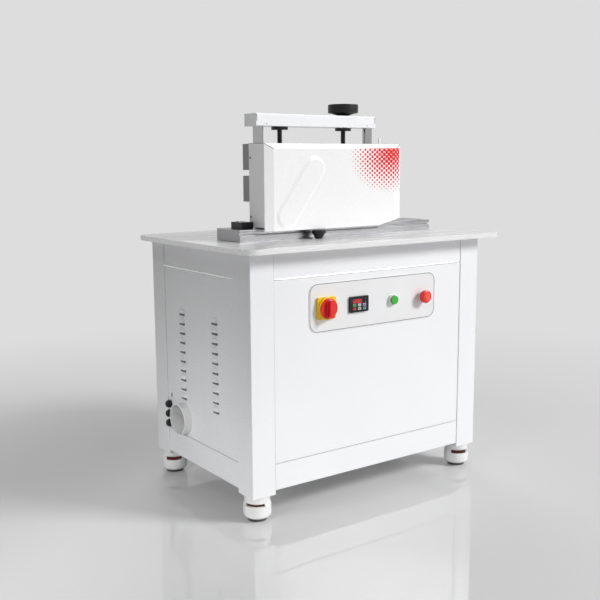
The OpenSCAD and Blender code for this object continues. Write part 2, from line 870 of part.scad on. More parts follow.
module cutter_hood() {
    color("gray") difference() {
        union() {
            rod_up(cutter_x, cutter_y, table_z - bracket_drop + seat, hood_d, bracket_drop - 2*seat);
            rod_front(cutter_x, hose_y0, hose_z1, hose_d - 2*hose_wall, hood_d/2 + stub_l);
        }
        rod_up(cutter_x, cutter_y, table_z - bracket_drop + seat + hood_wall, hood_d - 2*hood_wall,
               bracket_drop);
        rod_up(cutter_x, cutter_y, table_z - bracket_drop - over, spindle_d + 2*loose, bracket_drop);
        rod_front(cutter_x, hose_y0 + over, hose_z1, hose_d - 4*hose_wall, hood_d/2 + stub_l + over);
    }
}

gland_thread_d = 20;
gland_hex_d = 28;
gland_hex_t = 6;
gland_cap_t = 9;
gland_bore_d = 9;
gland_nut_t = 5;

module cable_glands() {
    x = cab_x0 + pan_face;
    color("black") for (k = [0 : 2]) {
        z = gland_z - k*gland_pitch;
        difference() {
            union() {
                translate([x - seat, gland_y, z]) rotate([0, -90, 0])
                    cylinder(d = gland_hex_d, h = gland_hex_t, $fn = 6);
                rod_left(x + sheet_t + gland_nut_t + seat, gland_y, z, gland_thread_d,
                         sheet_t + gland_nut_t + gland_hex_t);
                rod_left(x - gland_hex_t, gland_y, z, gland_d, gland_cap_t);
                translate([x + sheet_t + seat + gland_nut_t, gland_y, z]) rotate([0, -90, 0])
                    cylinder(d = gland_hex_d, h = gland_nut_t, $fn = 6);
            }
            rod_left(x + sheet_t + gland_nut_t + over, gland_y, z, gland_bore_d,
                     sheet_t + gland_nut_t + gland_hex_t + gland_cap_t + 2*over);
        }
    }
}

// Electrical plate inside the right side

elec_t = 3;
elec_d = 300;
elec_h = 420;
elec_y = cab_cy;
elec_x = cab_x1 - rail_face - rail_tube_d - seat - elec_t;
inverter_w = 90;
inverter_h = 130;
inverter_d = 105;
contactor_w = 45;
contactor_h = 74;
contactor_d = 80;
breaker_w = 54;
breaker_h = 80;
breaker_d = 70;
terminal_w = 130;
terminal_h = 50;
terminal_d = 45;
unit_gap = 18;
unit_top = 90;
// Each unit's place from the plate's middle and down from the table, then its width, height and depth
elec_units = [
    [-inverter_w/2 - unit_gap, unit_top + inverter_h/2, inverter_w, inverter_h, inverter_d],
    [contactor_w/2 + unit_gap, unit_top + contactor_h/2, contactor_w, contactor_h, contactor_d],
    [contactor_w*3/2 + 2*unit_gap, unit_top + contactor_h/2, contactor_w, contactor_h, contactor_d],
    [-inverter_w/2 - unit_gap, unit_top + inverter_h + unit_gap + breaker_h/2, breaker_w, breaker_h,
     breaker_d],
    [terminal_w/2, unit_top + inverter_h + unit_gap + terminal_h/2, terminal_w, terminal_h, terminal_d]];

module electrical_plate() {
    color("silver") translate([elec_x, elec_y - elec_d/2, table_z - elec_h])
        cube([elec_t, elec_d, elec_h - over]);
}

module electrical_units() {
    color("dimgray") for (u = elec_units)
        translate([elec_x - seat - u[4], elec_y + u[0] - u[2]/2, table_z - u[1] - u[3]/2])
            cube([u[4], u[2], u[3]]);
}

// Rails on the table

bar_slot_w = 6;
bar_slot_d = 8;
bar_slot_z = 19;
bar_notch_w = cutter_d + 2*cutter_clear;
bar_col_d = col_d + 4*loose;
edge_l = 41;
edge_h = 20;
edge_d = 94;
edge_set = 28;
edge_x0 = infeed_x0 + edge_set;
edge_layer = 5;
yoke_t = 20;
yoke_drop = 44;
yoke_w = 40;
knob_foot_d = 22;
knob_rim_share = 0.4;
collar_d = 24;
collar_t = 6;

// A rail with a slot along its front and a clearance hole round the column at col_x
module bar(l, x0, y0, depth, col_x) {
    difference() {
        translate([x0, y0, top_z + seat]) cube([l, depth, bar_h - seat]);
        translate([x0 - over, y0 - over, top_z + bar_slot_z])
            cube([l + 2*over, over + bar_slot_d, bar_slot_w]);
        rod_up(col_x, col_y, top_z - over, bar_col_d, bar_h + 2*over);
    }
}

module infeed_rail() {
    color("darkgray") difference() {
        bar(infeed_l, infeed_x0, bar_y0, bar_d, col_xs[0]);
        rod_up(cutter_x, cutter_y, top_z - over, bar_notch_w, bar_h + 2*over);
        translate([cutter_x, cutter_y - bar_notch_w/2, top_z - over])
            cube([infeed_l, bar_notch_w, bar_h + 2*over]);
    }
}

module outfeed_rail() {
    color("lightgray") difference() {
        bar(outfeed_l, outfeed_x0, bar_y0 + outfeed_set, bar_d - outfeed_set, col_xs[1]);
        translate([outfeed_x0 - over, col_y - bar_col_d/2, top_z - over])
            cube([col_xs[1] - outfeed_x0 + over, bar_col_d, bar_h + 2*over]);
        for (p = outfeed_screws) {
            rod_up(p[0], p[1], top_z - over, bolt_d + 2*seat, bar_h + 2*over);
            rod_up(p[0], p[1], bar_top - bolt_head_h - seat, bolt_head_d + 2*seat, bar_h);
        }
    }
}

module edge_block() {
    color("black") translate([edge_x0, bar_y0, bar_top + seat]) {
        cube([edge_l, edge_d, edge_h - edge_layer]);
        translate([edge_layer, edge_layer, edge_h - edge_layer - seat])
            cube([edge_l - edge_layer, edge_d - edge_layer, edge_layer]);
    }
}

module rail_yoke() {
    z = table_z - yoke_drop;
    color("gray") difference() {
        union() {
            translate([dowel_xs[0] - yoke_w/2, dowel_y - yoke_w/2, z])
                cube([dowel_xs[1] - dowel_xs[0] + yoke_w, yoke_w, yoke_t]);
            translate([knob_x - yoke_w/2, knob_y - yoke_w/2, z])
                cube([yoke_w, dowel_y - knob_y + yoke_w/2, yoke_t]);
            for (x = dowel_xs) rod_up(x, dowel_y, z + yoke_t - seat, dowel_d, top_z - z - yoke_t + seat);
        }
        rod_up(knob_x, knob_y, z - over, shaft_d + 2*run, yoke_t + 2*over);
    }
}

module rail_knob() {
    z = top_z + seat;
    rim = knob_rim_share*rail_knob_h;
    color("black") {
        translate([knob_x, knob_y, z]) rotate_extrude($fn = fn_round)
            polygon([[0, 0], [knob_foot_d/2, 0], [rail_knob_d/2 - seat, rail_knob_h - rim],
                     [rail_knob_d/2, rail_knob_h - rim], [rail_knob_d/2, rail_knob_h - seat],
                     [0, rail_knob_h - seat]]);
        rod_up(knob_x, knob_y, table_z - yoke_drop - yoke_t, shaft_d, yoke_drop + yoke_t + table_t + 2*seat);
        rod_up(knob_x, knob_y, table_z - seat - collar_t, collar_d, collar_t);
    }
}

// Columns, beam and lift

flange_d = 72;
flange_h = 20;
col_cap = 4;
beam_z1 = beam_z + beam_h;
cavity_d = 56;
sprocket_d = 38;
sprocket_t = 8;
sprocket_up = 14;
sprocket_z = beam_z + sprocket_up;
chain_t = 5;
chain_h = 6;
screw_free = 66;
screw_z0 = head_z1 - screw_free;
hub_bore = 12;
wheel_z0 = beam_z1 + seat;

module guide_columns() {
    color("silver") for (x = col_xs)
        rod_up(x, col_y, table_z - flange_h, col_d, beam_z1 - col_cap - seat - table_z + flange_h);
}

module column_flanges() {
    color("dimgray") for (x = col_xs) difference() {
        rod_up(x, col_y, table_z - flange_h, flange_d, flange_h - seat);
        rod_up(x, col_y, table_z - flange_h - over, col_d + 2*run, flange_h + 2*over);
    }
}

module top_beam() {
    color("whitesmoke") difference() {
        translate([gantry_x - beam_w/2, beam_y0, beam_z]) cube([beam_w, beam_d, beam_h]);
        translate([gantry_x - beam_w/2 + beam_end, beam_y0 + (beam_d - cavity_d)/2, beam_z + beam_wall])
            cube([beam_w - 2*beam_end, cavity_d, beam_h - 2*beam_wall]);
        for (x = col_xs) rod_up(x, col_y, beam_z - over, col_d + 2*run, beam_h - col_cap + over);
        for (x = screw_xs) rod_up(x, screw_y, beam_z - over, screw_d + 2*seat, beam_h/2 + over);
        rod_up(screw_xs[1], screw_y, beam_z, screw_d + 2*seat, beam_h + over);
    }
}

module screw_bearings() {
    color("black") for (x = screw_xs) difference() {
        rod_up(x, screw_y, beam_z - seat - bearing_h, bearing_d, bearing_h);
        rod_up(x, screw_y, beam_z - bearing_h - over, screw_d + 2*run, bearing_h + 2*over);
    }
}

module lift_chain() {
    inner = sprocket_d/2 + 2*seat;
    color("gray") translate([gantry_x, screw_y, sprocket_z + (sprocket_t - chain_h)/2])
        linear_extrude(chain_h) difference() {
            stadium(screw_gap, inner + chain_t);
            stadium(screw_gap, inner);
        }
}

// A lift screw with its sprocket in the beam, up to z1
module lift_screw(x, z1) {
    color("black") {
        rod_up(x, screw_y, screw_z0, screw_d, z1 - screw_z0);
        rod_up(x, screw_y, sprocket_z, sprocket_d, sprocket_t);
    }
}

module left_screw() { lift_screw(screw_xs[0], beam_z1 - beam_wall - seat); }
module right_screw() { lift_screw(screw_xs[1], wheel_z0 + wheel_cone_h + hub_bore); }

wheel_hub_d = 24;
wheel_cone_d = 62;
wheel_round = 4;
wheel_dish = 4;

module handwheel() {
    color("black") translate([screw_xs[1], screw_y, wheel_z0]) difference() {
        rotate_extrude($fn = fn_round) polygon(concat(
            [[0, 0], [wheel_hub_d/2, 0], [wheel_cone_d/2, wheel_cone_h - seat],
             [wheel_d/2 - wheel_round/2, wheel_cone_h]],
            [for (a = [-90 : 30 : 0]) [wheel_d/2 - wheel_round + wheel_round*cos(a),
                                       wheel_cone_h + wheel_round + wheel_round*sin(a)]],
            [for (a = [0 : 30 : 90]) [wheel_d/2 - wheel_round + wheel_round*cos(a),
                                      wheel_cone_h + wheel_h - wheel_round + wheel_round*sin(a)]],
            [[wheel_cone_d/2, wheel_cone_h + wheel_h - wheel_dish],
             [0, wheel_cone_h + wheel_h - wheel_dish]]));
        translate([0, 0, -over]) cylinder(d = screw_d + 2*run, h = over + wheel_cone_h + hub_bore + seat,
                                          $fn = fn_round);
    }
}

// Head

// Outline of the cover seen from the front, drawn in by a wall
module head_outline(in) {
    slope = corner_h/corner_w;
    rise = in*sqrt(1 + slope*slope);
    polygon([[head_x0 + in, head_z0 + in], [head_x1 - corner_w + (in - rise)/slope, head_z0 + in],
             [head_x1 - in, head_z0 + slope*(corner_w - in) + rise], [head_x1 - in, head_z1 - in],
             [head_x0 + in, head_z1 - in]]);
}

// Section of the wedge that bevels a side of the front, as wide as w and as deep as the bevel
module bevel_wedge(w) {
    polygon([[0, 0], [w + over, -bevel_out*(w + over)/w], [-over, -bevel_out - 2*over], [-over, 0]]);
}

// The body of the cover, drawn in by a wall and run on at the rear by deep
module head_form(in, deep) {
    difference() {
        out_front(0, head_rear + deep, 0, head_d + bevel_out + deep - in) head_outline(in);
        translate([head_x0 + in, head_edge_y + in, head_z0 - over])
            linear_extrude(head_h + 2*over) bevel_wedge(bevel_side);
        translate([head_x1 - in, head_edge_y + in, head_z0 - over])
            linear_extrude(head_h + 2*over) mirror([1, 0, 0]) bevel_wedge(bevel_side);
        translate([head_x0 - over, head_edge_y + in, head_z1 - in]) rotate([90, 0, 90])
            linear_extrude(head_w + 2*over) rotate(-90) bevel_wedge(bevel_top);
    }
}

band_r = 40;
band_out = 3;
band_slope = 11;
band_a_x = 77;
band_a_z = 42;
band_b_x = 179;
band_b_z = 181;
band_a = [head_x0 + band_a_x, head_z0 + band_a_z];
band_b = [head_x0 + band_b_x, head_z0 + band_b_z];
nub_d = 7;
nub_h = 19;
nub_set = 58;
nub_x = head_x1 - nub_set;
nub_back = 70;
nub_y = col_y - nub_back;
skirt_gap = 5;
skirt_z = bar_top + skirt_gap;

// The raised band with sloping sides that slants across the front of the cover
module band() {
    l = norm(band_b - band_a);
    mid = (band_a + band_b)/2;
    h = band_out + seat;
    translate([mid[0], head_front + seat, mid[1]]) rotate([90, 0, 0])
        rotate([0, 0, atan2(band_b[1] - band_a[1], band_b[0] - band_a[0])]) {
            for (x = [-l/2, l/2]) translate([x, 0, 0])
                cylinder(r1 = band_r, r2 = band_r - band_slope, h = h, $fn = fn_round);
            rotate([90, 0, 90]) linear_extrude(l, center = true)
                polygon([[-band_r, 0], [band_r, 0], [band_r - band_slope, h], [band_slope - band_r, h]]);
        }
}

module head_cover() {
    color("white") difference() {
        union() {
            head_form(0, 0);
            band();
            rod_up(nub_x, nub_y, head_z1 - seat, nub_d, nub_h);
        }
        head_form(head_t, over);
        translate([head_x0 - over, head_edge_y + head_t, head_z0 - over])
            cube([head_w + 2*over, head_d + 2*over, skirt_z - head_z0 + over]);
    }
}

lug_w = 44;
lug_d = 62;
lug_h = 20;
lug_drop = 40;
lug_z = head_z1 - lug_drop;
nut_d = 30;
nut_flange_d = 42;
nut_flange_t = 5;
nut_l = 26;
drive_shift = 152;
idler_shift = 208;
roller_set = 10;
drive_x = gantry_x + drive_shift;
idler_x = gantry_x - idler_shift;
roller_z = bar_top + work_gap + belt_t + 2*seat + roller_d/2;
roller_y = plate_front - roller_set;
plate_z0 = head_z0 + corner_h + head_t + seat;

module head_plate() {
    color("gray") difference() {
        union() {
            translate([head_x0 + head_t + seat, plate_front, plate_z0])
                cube([head_w - 2*head_t - 2*seat, back_t, head_z1 - head_t - seat - plate_z0]);
            for (x = screw_xs) translate([x - lug_w/2, head_rear - seat, lug_z]) cube([lug_w, lug_d, lug_h]);
        }
        for (x = screw_xs) rod_up(x, screw_y, lug_z - over, nut_d + 2*run, lug_h + 2*over);
        rod_front(drive_x, head_rear + over, roller_z, spindle_d + 2*loose, back_t + 2*over);
    }
}

block_drop = 173;
block_low_z = head_z1 - block_drop;

module bearing_blocks() {
    color("darkgray") for (x = col_xs, z = [block_low_z, head_z1 - block_h]) difference() {
        translate([x - block_w/2, col_y - block_d/2, z]) cube([block_w, block_d, block_h]);
        rod_up(x, col_y, z - over, col_d + 2*run, block_h + 2*over);
    }
}

module lift_nuts() {
    color("goldenrod") for (x = screw_xs) difference() {
        union() {
            rod_up(x, screw_y, lug_z - seat - nut_flange_t, nut_flange_d, nut_flange_t);
            rod_up(x, screw_y, lug_z - 2*seat, nut_d, nut_l - nut_flange_t);
        }
        rod_up(x, screw_y, lug_z - nut_flange_t - over, screw_d + 2*run, nut_l + 2*over);
    }
}

gear_w = 70;
gear_d = 66;
gear_h = 66;
feed_motor_d = 62;
feed_motor_l = 120;
shaft_reach = 40;

module feed_gearmotor() {
    color("dimgray") difference() {
        union() {
            translate([drive_x - gear_w/2, head_rear + seat, roller_z - gear_h/2])
                cube([gear_w, gear_d, gear_h]);
            rod_left(drive_x - gear_w/2 + seat, head_rear + seat + gear_d/2, roller_z, feed_motor_d,
                     feed_motor_l);
        }
        rod_front(drive_x, head_rear + seat + shaft_reach, roller_z, spindle_d + 2*run, shaft_reach + over);
    }
}

frame_t = 8;
frame_h = 110;
frame_end = 45;
pin_d = 20;
shoe_h = 20;
shoe_end = 42;

module roller_frame() {
    y = plate_front - seat - frame_t;
    color("slategray") difference() {
        union() {
            translate([idler_x - frame_end, y, plate_z0])
                cube([drive_x - idler_x + 2*frame_end, frame_t, frame_h]);
            rod_front(idler_x, y + seat, roller_z, pin_d, roller_w + 2*seat);
            translate([idler_x + shoe_end, roller_y - roller_w, roller_z - roller_d/2])
                cube([drive_x - idler_x - 2*shoe_end, y - roller_y + roller_w + seat, shoe_h]);
        }
        rod_front(drive_x, y + frame_t + over, roller_z, spindle_d + 2*loose, frame_t + 2*over);
    }
}

module feed_belt() {
    inner = roller_d/2 + 2*seat;
    color("black") out_front((drive_x + idler_x)/2, roller_y - seat, roller_z, roller_w - 2*seat)
        difference() {
            stadium(drive_x - idler_x, inner + belt_t);
            stadium(drive_x - idler_x, inner);
        }
}

module idler_roller() {
    color("silver") difference() {
        rod_front(idler_x, roller_y, roller_z, roller_d, roller_w);
        rod_front(idler_x, roller_y + over, roller_z, pin_d + 2*run, roller_w + 2*over);
    }
}

module drive_roller() {
    color("silver") {
        rod_front(drive_x, roller_y, roller_z, roller_d, roller_w);
        rod_front(drive_x, head_rear + shaft_reach - seat, roller_z, spindle_d,
                  head_rear + shaft_reach - roller_y);
    }
}

// Cutter and its motor

motor_flange_d = 150;
motor_flange_t = 10;
motor_z1 = table_z - bracket_drop - bracket_t - seat;
motor_bore = 60;
nose_d = 58;
nose_h = 8;
cooling_ribs = 12;
rib_out = 6;
rib_w = 5;

module spindle_motor() {
    color("steelblue") difference() {
        union() {
            rod_up(cutter_x, cutter_y, motor_z1 - motor_flange_t, motor_flange_d, motor_flange_t);
            rod_up(cutter_x, cutter_y, motor_z1 - motor_l, motor_d - 2*rib_out, motor_l);
            rod_up(cutter_x, cutter_y, motor_z1 - seat, nose_d, nose_h);
            for (k = [0 : cooling_ribs - 1])
                translate([cutter_x, cutter_y, motor_z1 - motor_l + motor_flange_t])
                rotate([0, 0, k*360/cooling_ribs]) translate([motor_d/2 - 2*rib_out, -rib_w/2, 0])
                cube([2*rib_out, rib_w, motor_l - 2*motor_flange_t - rib_w]);
        }
        rod_up(cutter_x, cutter_y, motor_z1 - motor_bore, spindle_d + 2*run, motor_bore + over + nose_h);
    }
}

module motor_bracket() {
    z = table_z - bracket_drop - bracket_t;
    place = bracket_w/2 - pillar_d/2 - seat;
    color("gray") difference() {
        union() {
            translate([cutter_x - bracket_w/2, cutter_y - bracket_w/2, z])
                cube([bracket_w, bracket_w, bracket_t]);
            for (x = [-place, place], y = [-place, place])
                rod_up(cutter_x + x, cutter_y + y, z + seat, pillar_d, bracket_drop + bracket_t - 2*seat);
        }
        rod_up(cutter_x, cutter_y, z - over, nose_d + 2*seat, bracket_t + 2*over);
    }
}

tooth_count = 4;
tooth_d = 9;
tooth_out = 1;

module cutter_disc() {
    z1 = bar_top + cutter_proud;
    color("gold") {
        rod_up(cutter_x, cutter_y, z1 - cutter_t, cutter_d, cutter_t - tooth_out);
        for (k = [0 : tooth_count - 1]) translate([cutter_x, cutter_y, z1 - cutter_t/2])
            rotate([0, 0, k*360/tooth_count]) translate([cutter_d/2 - tooth_d, 0, 0])
            cylinder(d = tooth_d, h = cutter_t/2, $fn = fn_small);
        rod_up(cutter_x, cutter_y, motor_z1 - motor_bore + seat, spindle_d,
               z1 - cutter_t - motor_z1 + motor_bore);
    }
}

machine_frame();
front_panel();
left_panel();
right_panel();
rear_panel();
bottom_tray();
table_top();
control_plate();
switch_base();
switch_knob();
meter_body();
meter_key_1();
meter_key_2();
meter_key_3();
meter_key_4();
meter_key_5();
meter_key_6();
start_bezel();
start_cap();
stop_collar();
stop_stem();
stop_mushroom();
electrical_plate();
electrical_units();
dust_port();
duct_hose();
cutter_hood();
cable_glands();
foot_housings();
foot_pads();
thumbwheel_fl();
thumbwheel_fr();
thumbwheel_rl();
thumbwheel_rr();
infeed_rail();
rail_yoke();
edge_block();
rail_knob();
outfeed_rail();
guide_columns();
column_flanges();
top_beam();
screw_bearings();
lift_chain();
right_screw();
left_screw();
handwheel();
head_cover();
head_plate();
bearing_blocks();
lift_nuts();
feed_gearmotor();
roller_frame();
feed_belt();
drive_roller();
idler_roller();
spindle_motor();
motor_bracket();
cutter_disc();
socket_screws();
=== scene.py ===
"""Looks of an acrylic polishing machine: a white cabinet with a ground steel table, a covered feed head
on two chrome columns, a lift beam with its handwheel, and the controls in front.

Every solid of the frame gets a finish, and most get rounded edges or a fuller shape. Sizes in the
classes are in millimetres, as the maker draws them, and are turned into metres on the bench.
"""

import json
import logging
import math
from collections.abc import Callable, Iterator
from contextlib import contextmanager
from dataclasses import dataclass, field
from enum import Enum
from functools import partial

import bmesh
import bpy
from mathutils import Matrix, Vector

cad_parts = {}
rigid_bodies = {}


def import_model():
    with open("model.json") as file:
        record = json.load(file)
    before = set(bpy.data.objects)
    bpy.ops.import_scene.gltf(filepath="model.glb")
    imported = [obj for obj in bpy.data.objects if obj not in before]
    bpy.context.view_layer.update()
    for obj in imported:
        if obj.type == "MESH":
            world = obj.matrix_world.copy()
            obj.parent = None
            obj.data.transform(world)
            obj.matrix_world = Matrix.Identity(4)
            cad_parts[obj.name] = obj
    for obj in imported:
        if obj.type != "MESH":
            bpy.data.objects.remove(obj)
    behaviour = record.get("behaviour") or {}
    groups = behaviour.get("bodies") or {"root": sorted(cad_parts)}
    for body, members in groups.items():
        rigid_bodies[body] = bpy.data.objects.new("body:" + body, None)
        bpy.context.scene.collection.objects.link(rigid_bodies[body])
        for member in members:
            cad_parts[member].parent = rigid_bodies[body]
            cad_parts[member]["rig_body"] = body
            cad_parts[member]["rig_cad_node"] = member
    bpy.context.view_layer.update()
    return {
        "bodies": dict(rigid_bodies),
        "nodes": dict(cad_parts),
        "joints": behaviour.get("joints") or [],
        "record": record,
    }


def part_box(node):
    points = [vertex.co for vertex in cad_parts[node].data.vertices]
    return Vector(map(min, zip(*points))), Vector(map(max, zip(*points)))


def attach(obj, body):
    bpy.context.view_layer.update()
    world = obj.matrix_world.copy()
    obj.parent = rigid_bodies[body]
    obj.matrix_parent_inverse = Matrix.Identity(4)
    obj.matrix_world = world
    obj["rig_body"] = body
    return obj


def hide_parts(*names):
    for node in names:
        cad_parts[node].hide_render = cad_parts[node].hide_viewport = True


LOG = logging.getLogger("machine")
MM = 0.001

RGB = tuple[float, float, float]
Point = tuple[float, float, float]
Piece = bpy.types.Object
Profile = list[tuple[float, float]]
Test = Callable[[Vector, Vector], bool]


def grey(level: float) -> RGB:
    """Returns a neutral colour of that level."""
    return (level, level, level)


# Materials


class Sketch:
    """A material's node tree, drawn node by node."""

    def __init__(self, name: str) -> None:
        """Starts a material with one shader and its output.

        Args:
            name: the material's name.
        """
        self.material = bpy.data.materials.new(name)
        self.material.use_nodes = True
        self.tree = self.material.node_tree
        self.tree.nodes.clear()
        self.output = self.tree.nodes.new("ShaderNodeOutputMaterial")
        self.shader = self.tree.nodes.new("ShaderNodeBsdfPrincipled")
        self.link(self.shader.outputs[0], self.output.inputs["Surface"])
        self.place = self.tree.nodes.new("ShaderNodeTexCoord").outputs["Object"]

    def link(self, source: bpy.types.NodeSocket, target: bpy.types.NodeSocket) -> None:
        """Joins a source socket to a target socket."""
        self.tree.links.new(source, target)

    def put(self, socket: str, value: float | RGB) -> None:
        """Sets a constant on the shader's own socket."""
        target = self.shader.inputs[socket]
        target.default_value = (*value, 1.0) if isinstance(value, tuple) else value

    def math(self, kind: str, *values: float | bpy.types.NodeSocket, clamp: bool = False) -> bpy.types.NodeSocket:
        """Adds a math node.

        Args:
            kind: the node's operation.
            values: its inputs, numbers or sockets.
            clamp: whether the result is held between 0 and 1.

        Returns:
            The node's result.
        """
        node = self.tree.nodes.new("ShaderNodeMath")
        node.operation = kind
        node.use_clamp = clamp
        for k, value in enumerate(values):
            if isinstance(value, (int, float)):
                node.inputs[k].default_value = value
            else:
                self.link(value, node.inputs[k])
        return node.outputs[0]

    def stretched(self, scale: Point) -> bpy.types.NodeSocket:
        """Stretches the object coordinates.

        Args:
            scale: the stretch on each axis.

        Returns:
            The stretched coordinates.
        """
        node = self.tree.nodes.new("ShaderNodeMapping")
        node.inputs["Scale"].default_value = scale
        self.link(self.place, node.inputs["Vector"])
        return node.outputs[0]

    def axes(self) -> tuple[bpy.types.NodeSocket, ...]:
        """Returns the three object coordinates in metres."""
        node = self.tree.nodes.new("ShaderNodeSeparateXYZ")
        self.link(self.place, node.inputs[0])
        return tuple(node.outputs)

    def blended(self, share: bpy.types.NodeSocket, first: bpy.types.NodeSocket,
                second: bpy.types.NodeSocket) -> bpy.types.NodeSocket:
        """Mixes two shaders.

        Args:
            share: how much of the second shader there is, 0 to 1.
            first: the first shader.
            second: the second shader.

        Returns:
            The mixed shader.
        """
        node = self.tree.nodes.new("ShaderNodeMixShader")
        for source, target in zip((share, first, second), node.inputs):
            self.link(source, target)
        return node.outputs[0]

    def noise(self, scale: float, detail: float, at: bpy.types.NodeSocket | None = None) -> bpy.types.NodeSocket:
        """Adds a noise texture.

        Args:
            scale: waves per metre.
            detail: octaves.
            at: the coordinates, or None for object coordinates.

        Returns:
            The noise, about 0 to 1.
        """
        node = self.tree.nodes.new("ShaderNodeTexNoise")
        node.inputs["Scale"].default_value = scale
        node.inputs["Detail"].default_value = detail
        self.link(at or self.place, node.inputs["Vector"])
        return node.outputs["Fac"]

    def ranged(self, value: bpy.types.NodeSocket, low: float, high: float,
               start: float = 0.3, end: float = 0.7) -> bpy.types.NodeSocket:
        """Maps a value from one range to another.

        Args:
            value: the value.
            low: the result at the start.
            high: the result at the end.
            start: where the value's range starts.
            end: where it ends.

        Returns:
            The mapped value.
        """
        node = self.tree.nodes.new("ShaderNodeMapRange")
        for name, number in (("From Min", start), ("From Max", end), ("To Min", low), ("To Max", high)):
            node.inputs[name].default_value = number
        self.link(value, node.inputs["Value"])
        return node.outputs[0]

    def mixed(self, share: bpy.types.NodeSocket, first: RGB | bpy.types.NodeSocket,
              second: RGB | bpy.types.NodeSocket) -> bpy.types.NodeSocket:
        """Mixes two colours.

        Args:
            share: how much of the second colour there is, 0 to 1.
            first: the first colour.
            second: the second colour.

        Returns:
            The mixed colour.
        """
        node = self.tree.nodes.new("ShaderNodeMix")
        node.data_type = "RGBA"
        self.link(share, node.inputs["Factor"])
        for socket, value in ((node.inputs[6], first), (node.inputs[7], second)):
            if isinstance(value, tuple):
                socket.default_value = (*value, 1.0)
            else:
                self.link(value, socket)
        return node.outputs[2]

    def bump(self, height: bpy.types.NodeSocket, depth: float) -> None:
        """Gives the surface a fine relief.

        Args:
            height: the relief, 0 to 1.
            depth: its depth in metres.
        """
        node = self.tree.nodes.new("ShaderNodeBump")
        node.inputs["Distance"].default_value = depth
        node.inputs["Strength"].default_value = 1.0
        self.link(height, node.inputs["Height"])
        self.link(node.outputs[0], self.shader.inputs["Normal"])


@dataclass(frozen=True)
class Finish:
    """A surface with a mottled colour, an uneven gloss and a fine grain."""

    name: str
    colour: RGB
    gloss: float
    metal: float = 0.0
    coat: float = 0.0
    mottle: float = 0.03
    mottle_scale: float = 7.0
    gloss_spread: float = 0.05
    grain_scale: float = 900.0
    grain_depth: float = 0.00002
    grain_stretch: Point = (1.0, 1.0, 1.0)
    grain_detail: float = 2.0
    shine: float = 0.5

    def base(self, sketch: Sketch) -> bpy.types.NodeSocket:
        """Makes the base colour, a little lighter and darker from place to place.

        Args:
            sketch: the material's nodes.

        Returns:
            The colour.
        """
        share = sketch.ranged(sketch.noise(self.mottle_scale, 3.0), 0.0, 1.0)
        dark = tuple(c * (1 - self.mottle) for c in self.colour)
        light = tuple(min(1.0, c * (1 + self.mottle)) for c in self.colour)
        return sketch.mixed(share, dark, light)

    def build(self) -> bpy.types.Material:
        """Returns the finished material."""
        sketch = Sketch(self.name)
        sketch.link(self.base(sketch), sketch.shader.inputs["Base Color"])
        sketch.put("Metallic", self.metal)
        sketch.put("Coat Weight", self.coat)
        sketch.put("Coat Roughness", 0.08)
        sketch.put("Specular IOR Level", self.shine)
        grain = sketch.noise(self.grain_scale, self.grain_detail, sketch.stretched(self.grain_stretch))
        low = max(0.02, self.gloss - self.gloss_spread)
        rough = sketch.ranged(grain, low, self.gloss + self.gloss_spread)
        sketch.link(rough, sketch.shader.inputs["Roughness"])
        sketch.bump(grain, self.grain_depth)
        return sketch.material


@dataclass(frozen=True)
class HalftoneFinish(Finish):
    """The cover's white paint with a red print of staggered dots that fades to the left and down."""

    ink: RGB = (0.74, 0.002, 0.006)
    pitch: tuple[float, float] = (19.65, 14.6)
    first: tuple[float, float] = (198.2, 1064.6)
    full: tuple[float, float] = (158.0, 1044.0)
    fade: tuple[float, float] = (163.0, 121.0)
    right: float = 209.0
    dot: float = 7.0
    curve: float = 0.5
    front: float = -147.0

    def lattice(self, sketch: Sketch, x: bpy.types.NodeSocket, z: bpy.types.NodeSocket,
                shift: float) -> bpy.types.NodeSocket:
        """Measures how far the nearest dot of one lattice is.

        Args:
            sketch: the material's nodes.
            x: place across in millimetres.
            z: place up in millimetres.
            shift: the lattice's shift, as a share of its pitch.

        Returns:
            The distance in millimetres.
        """
        parts = []
        for value, start, step in ((x, self.first[0], self.pitch[0]), (z, self.first[1], self.pitch[1])):
            turn = sketch.math("MULTIPLY_ADD", value, 1 / step, 0.5 + shift - start / step)
            share = sketch.math("SUBTRACT", sketch.math("FRACT", turn), 0.5)
            parts.append(sketch.math("POWER", sketch.math("MULTIPLY", share, step), 2.0))
        return sketch.math("SQRT", sketch.math("ADD", *parts))

    def base(self, sketch: Sketch) -> bpy.types.NodeSocket:
        """Prints the dots on the paint.

        Args:
            sketch: the material's nodes.

        Returns:
            The colour.
        """
        paint = super().base(sketch)
        x, y, z = (sketch.math("MULTIPLY", axis, 1 / MM) for axis in sketch.axes())
        far = []
        for value, start, reach in ((x, self.full[0], self.fade[0]), (z, self.full[1], self.fade[1])):
            away = sketch.math("MAXIMUM", sketch.math("SUBTRACT", start, value), 0.0)
            far.append(sketch.math("POWER", sketch.math("DIVIDE", away, reach), 2.0))
        strength = sketch.math("SUBTRACT", 1.0, sketch.math("SQRT", sketch.math("ADD", *far)), clamp=True)
        radius = sketch.math("MULTIPLY", sketch.math("POWER", strength, self.curve), self.dot)
        distance = sketch.math("MINIMUM", self.lattice(sketch, x, z, 0.0), self.lattice(sketch, x, z, 0.5))
        dots = sketch.math("SUBTRACT", radius, distance, clamp=True)
        inside = sketch.math("MULTIPLY", sketch.math("LESS_THAN", x, self.right),
                             sketch.math("LESS_THAN", z, self.first[1] + self.pitch[1] * 0.35))
        inside = sketch.math("MULTIPLY", inside, sketch.math("LESS_THAN", y, self.front))
        return sketch.mixed(sketch.math("MULTIPLY", dots, inside), paint, self.ink)


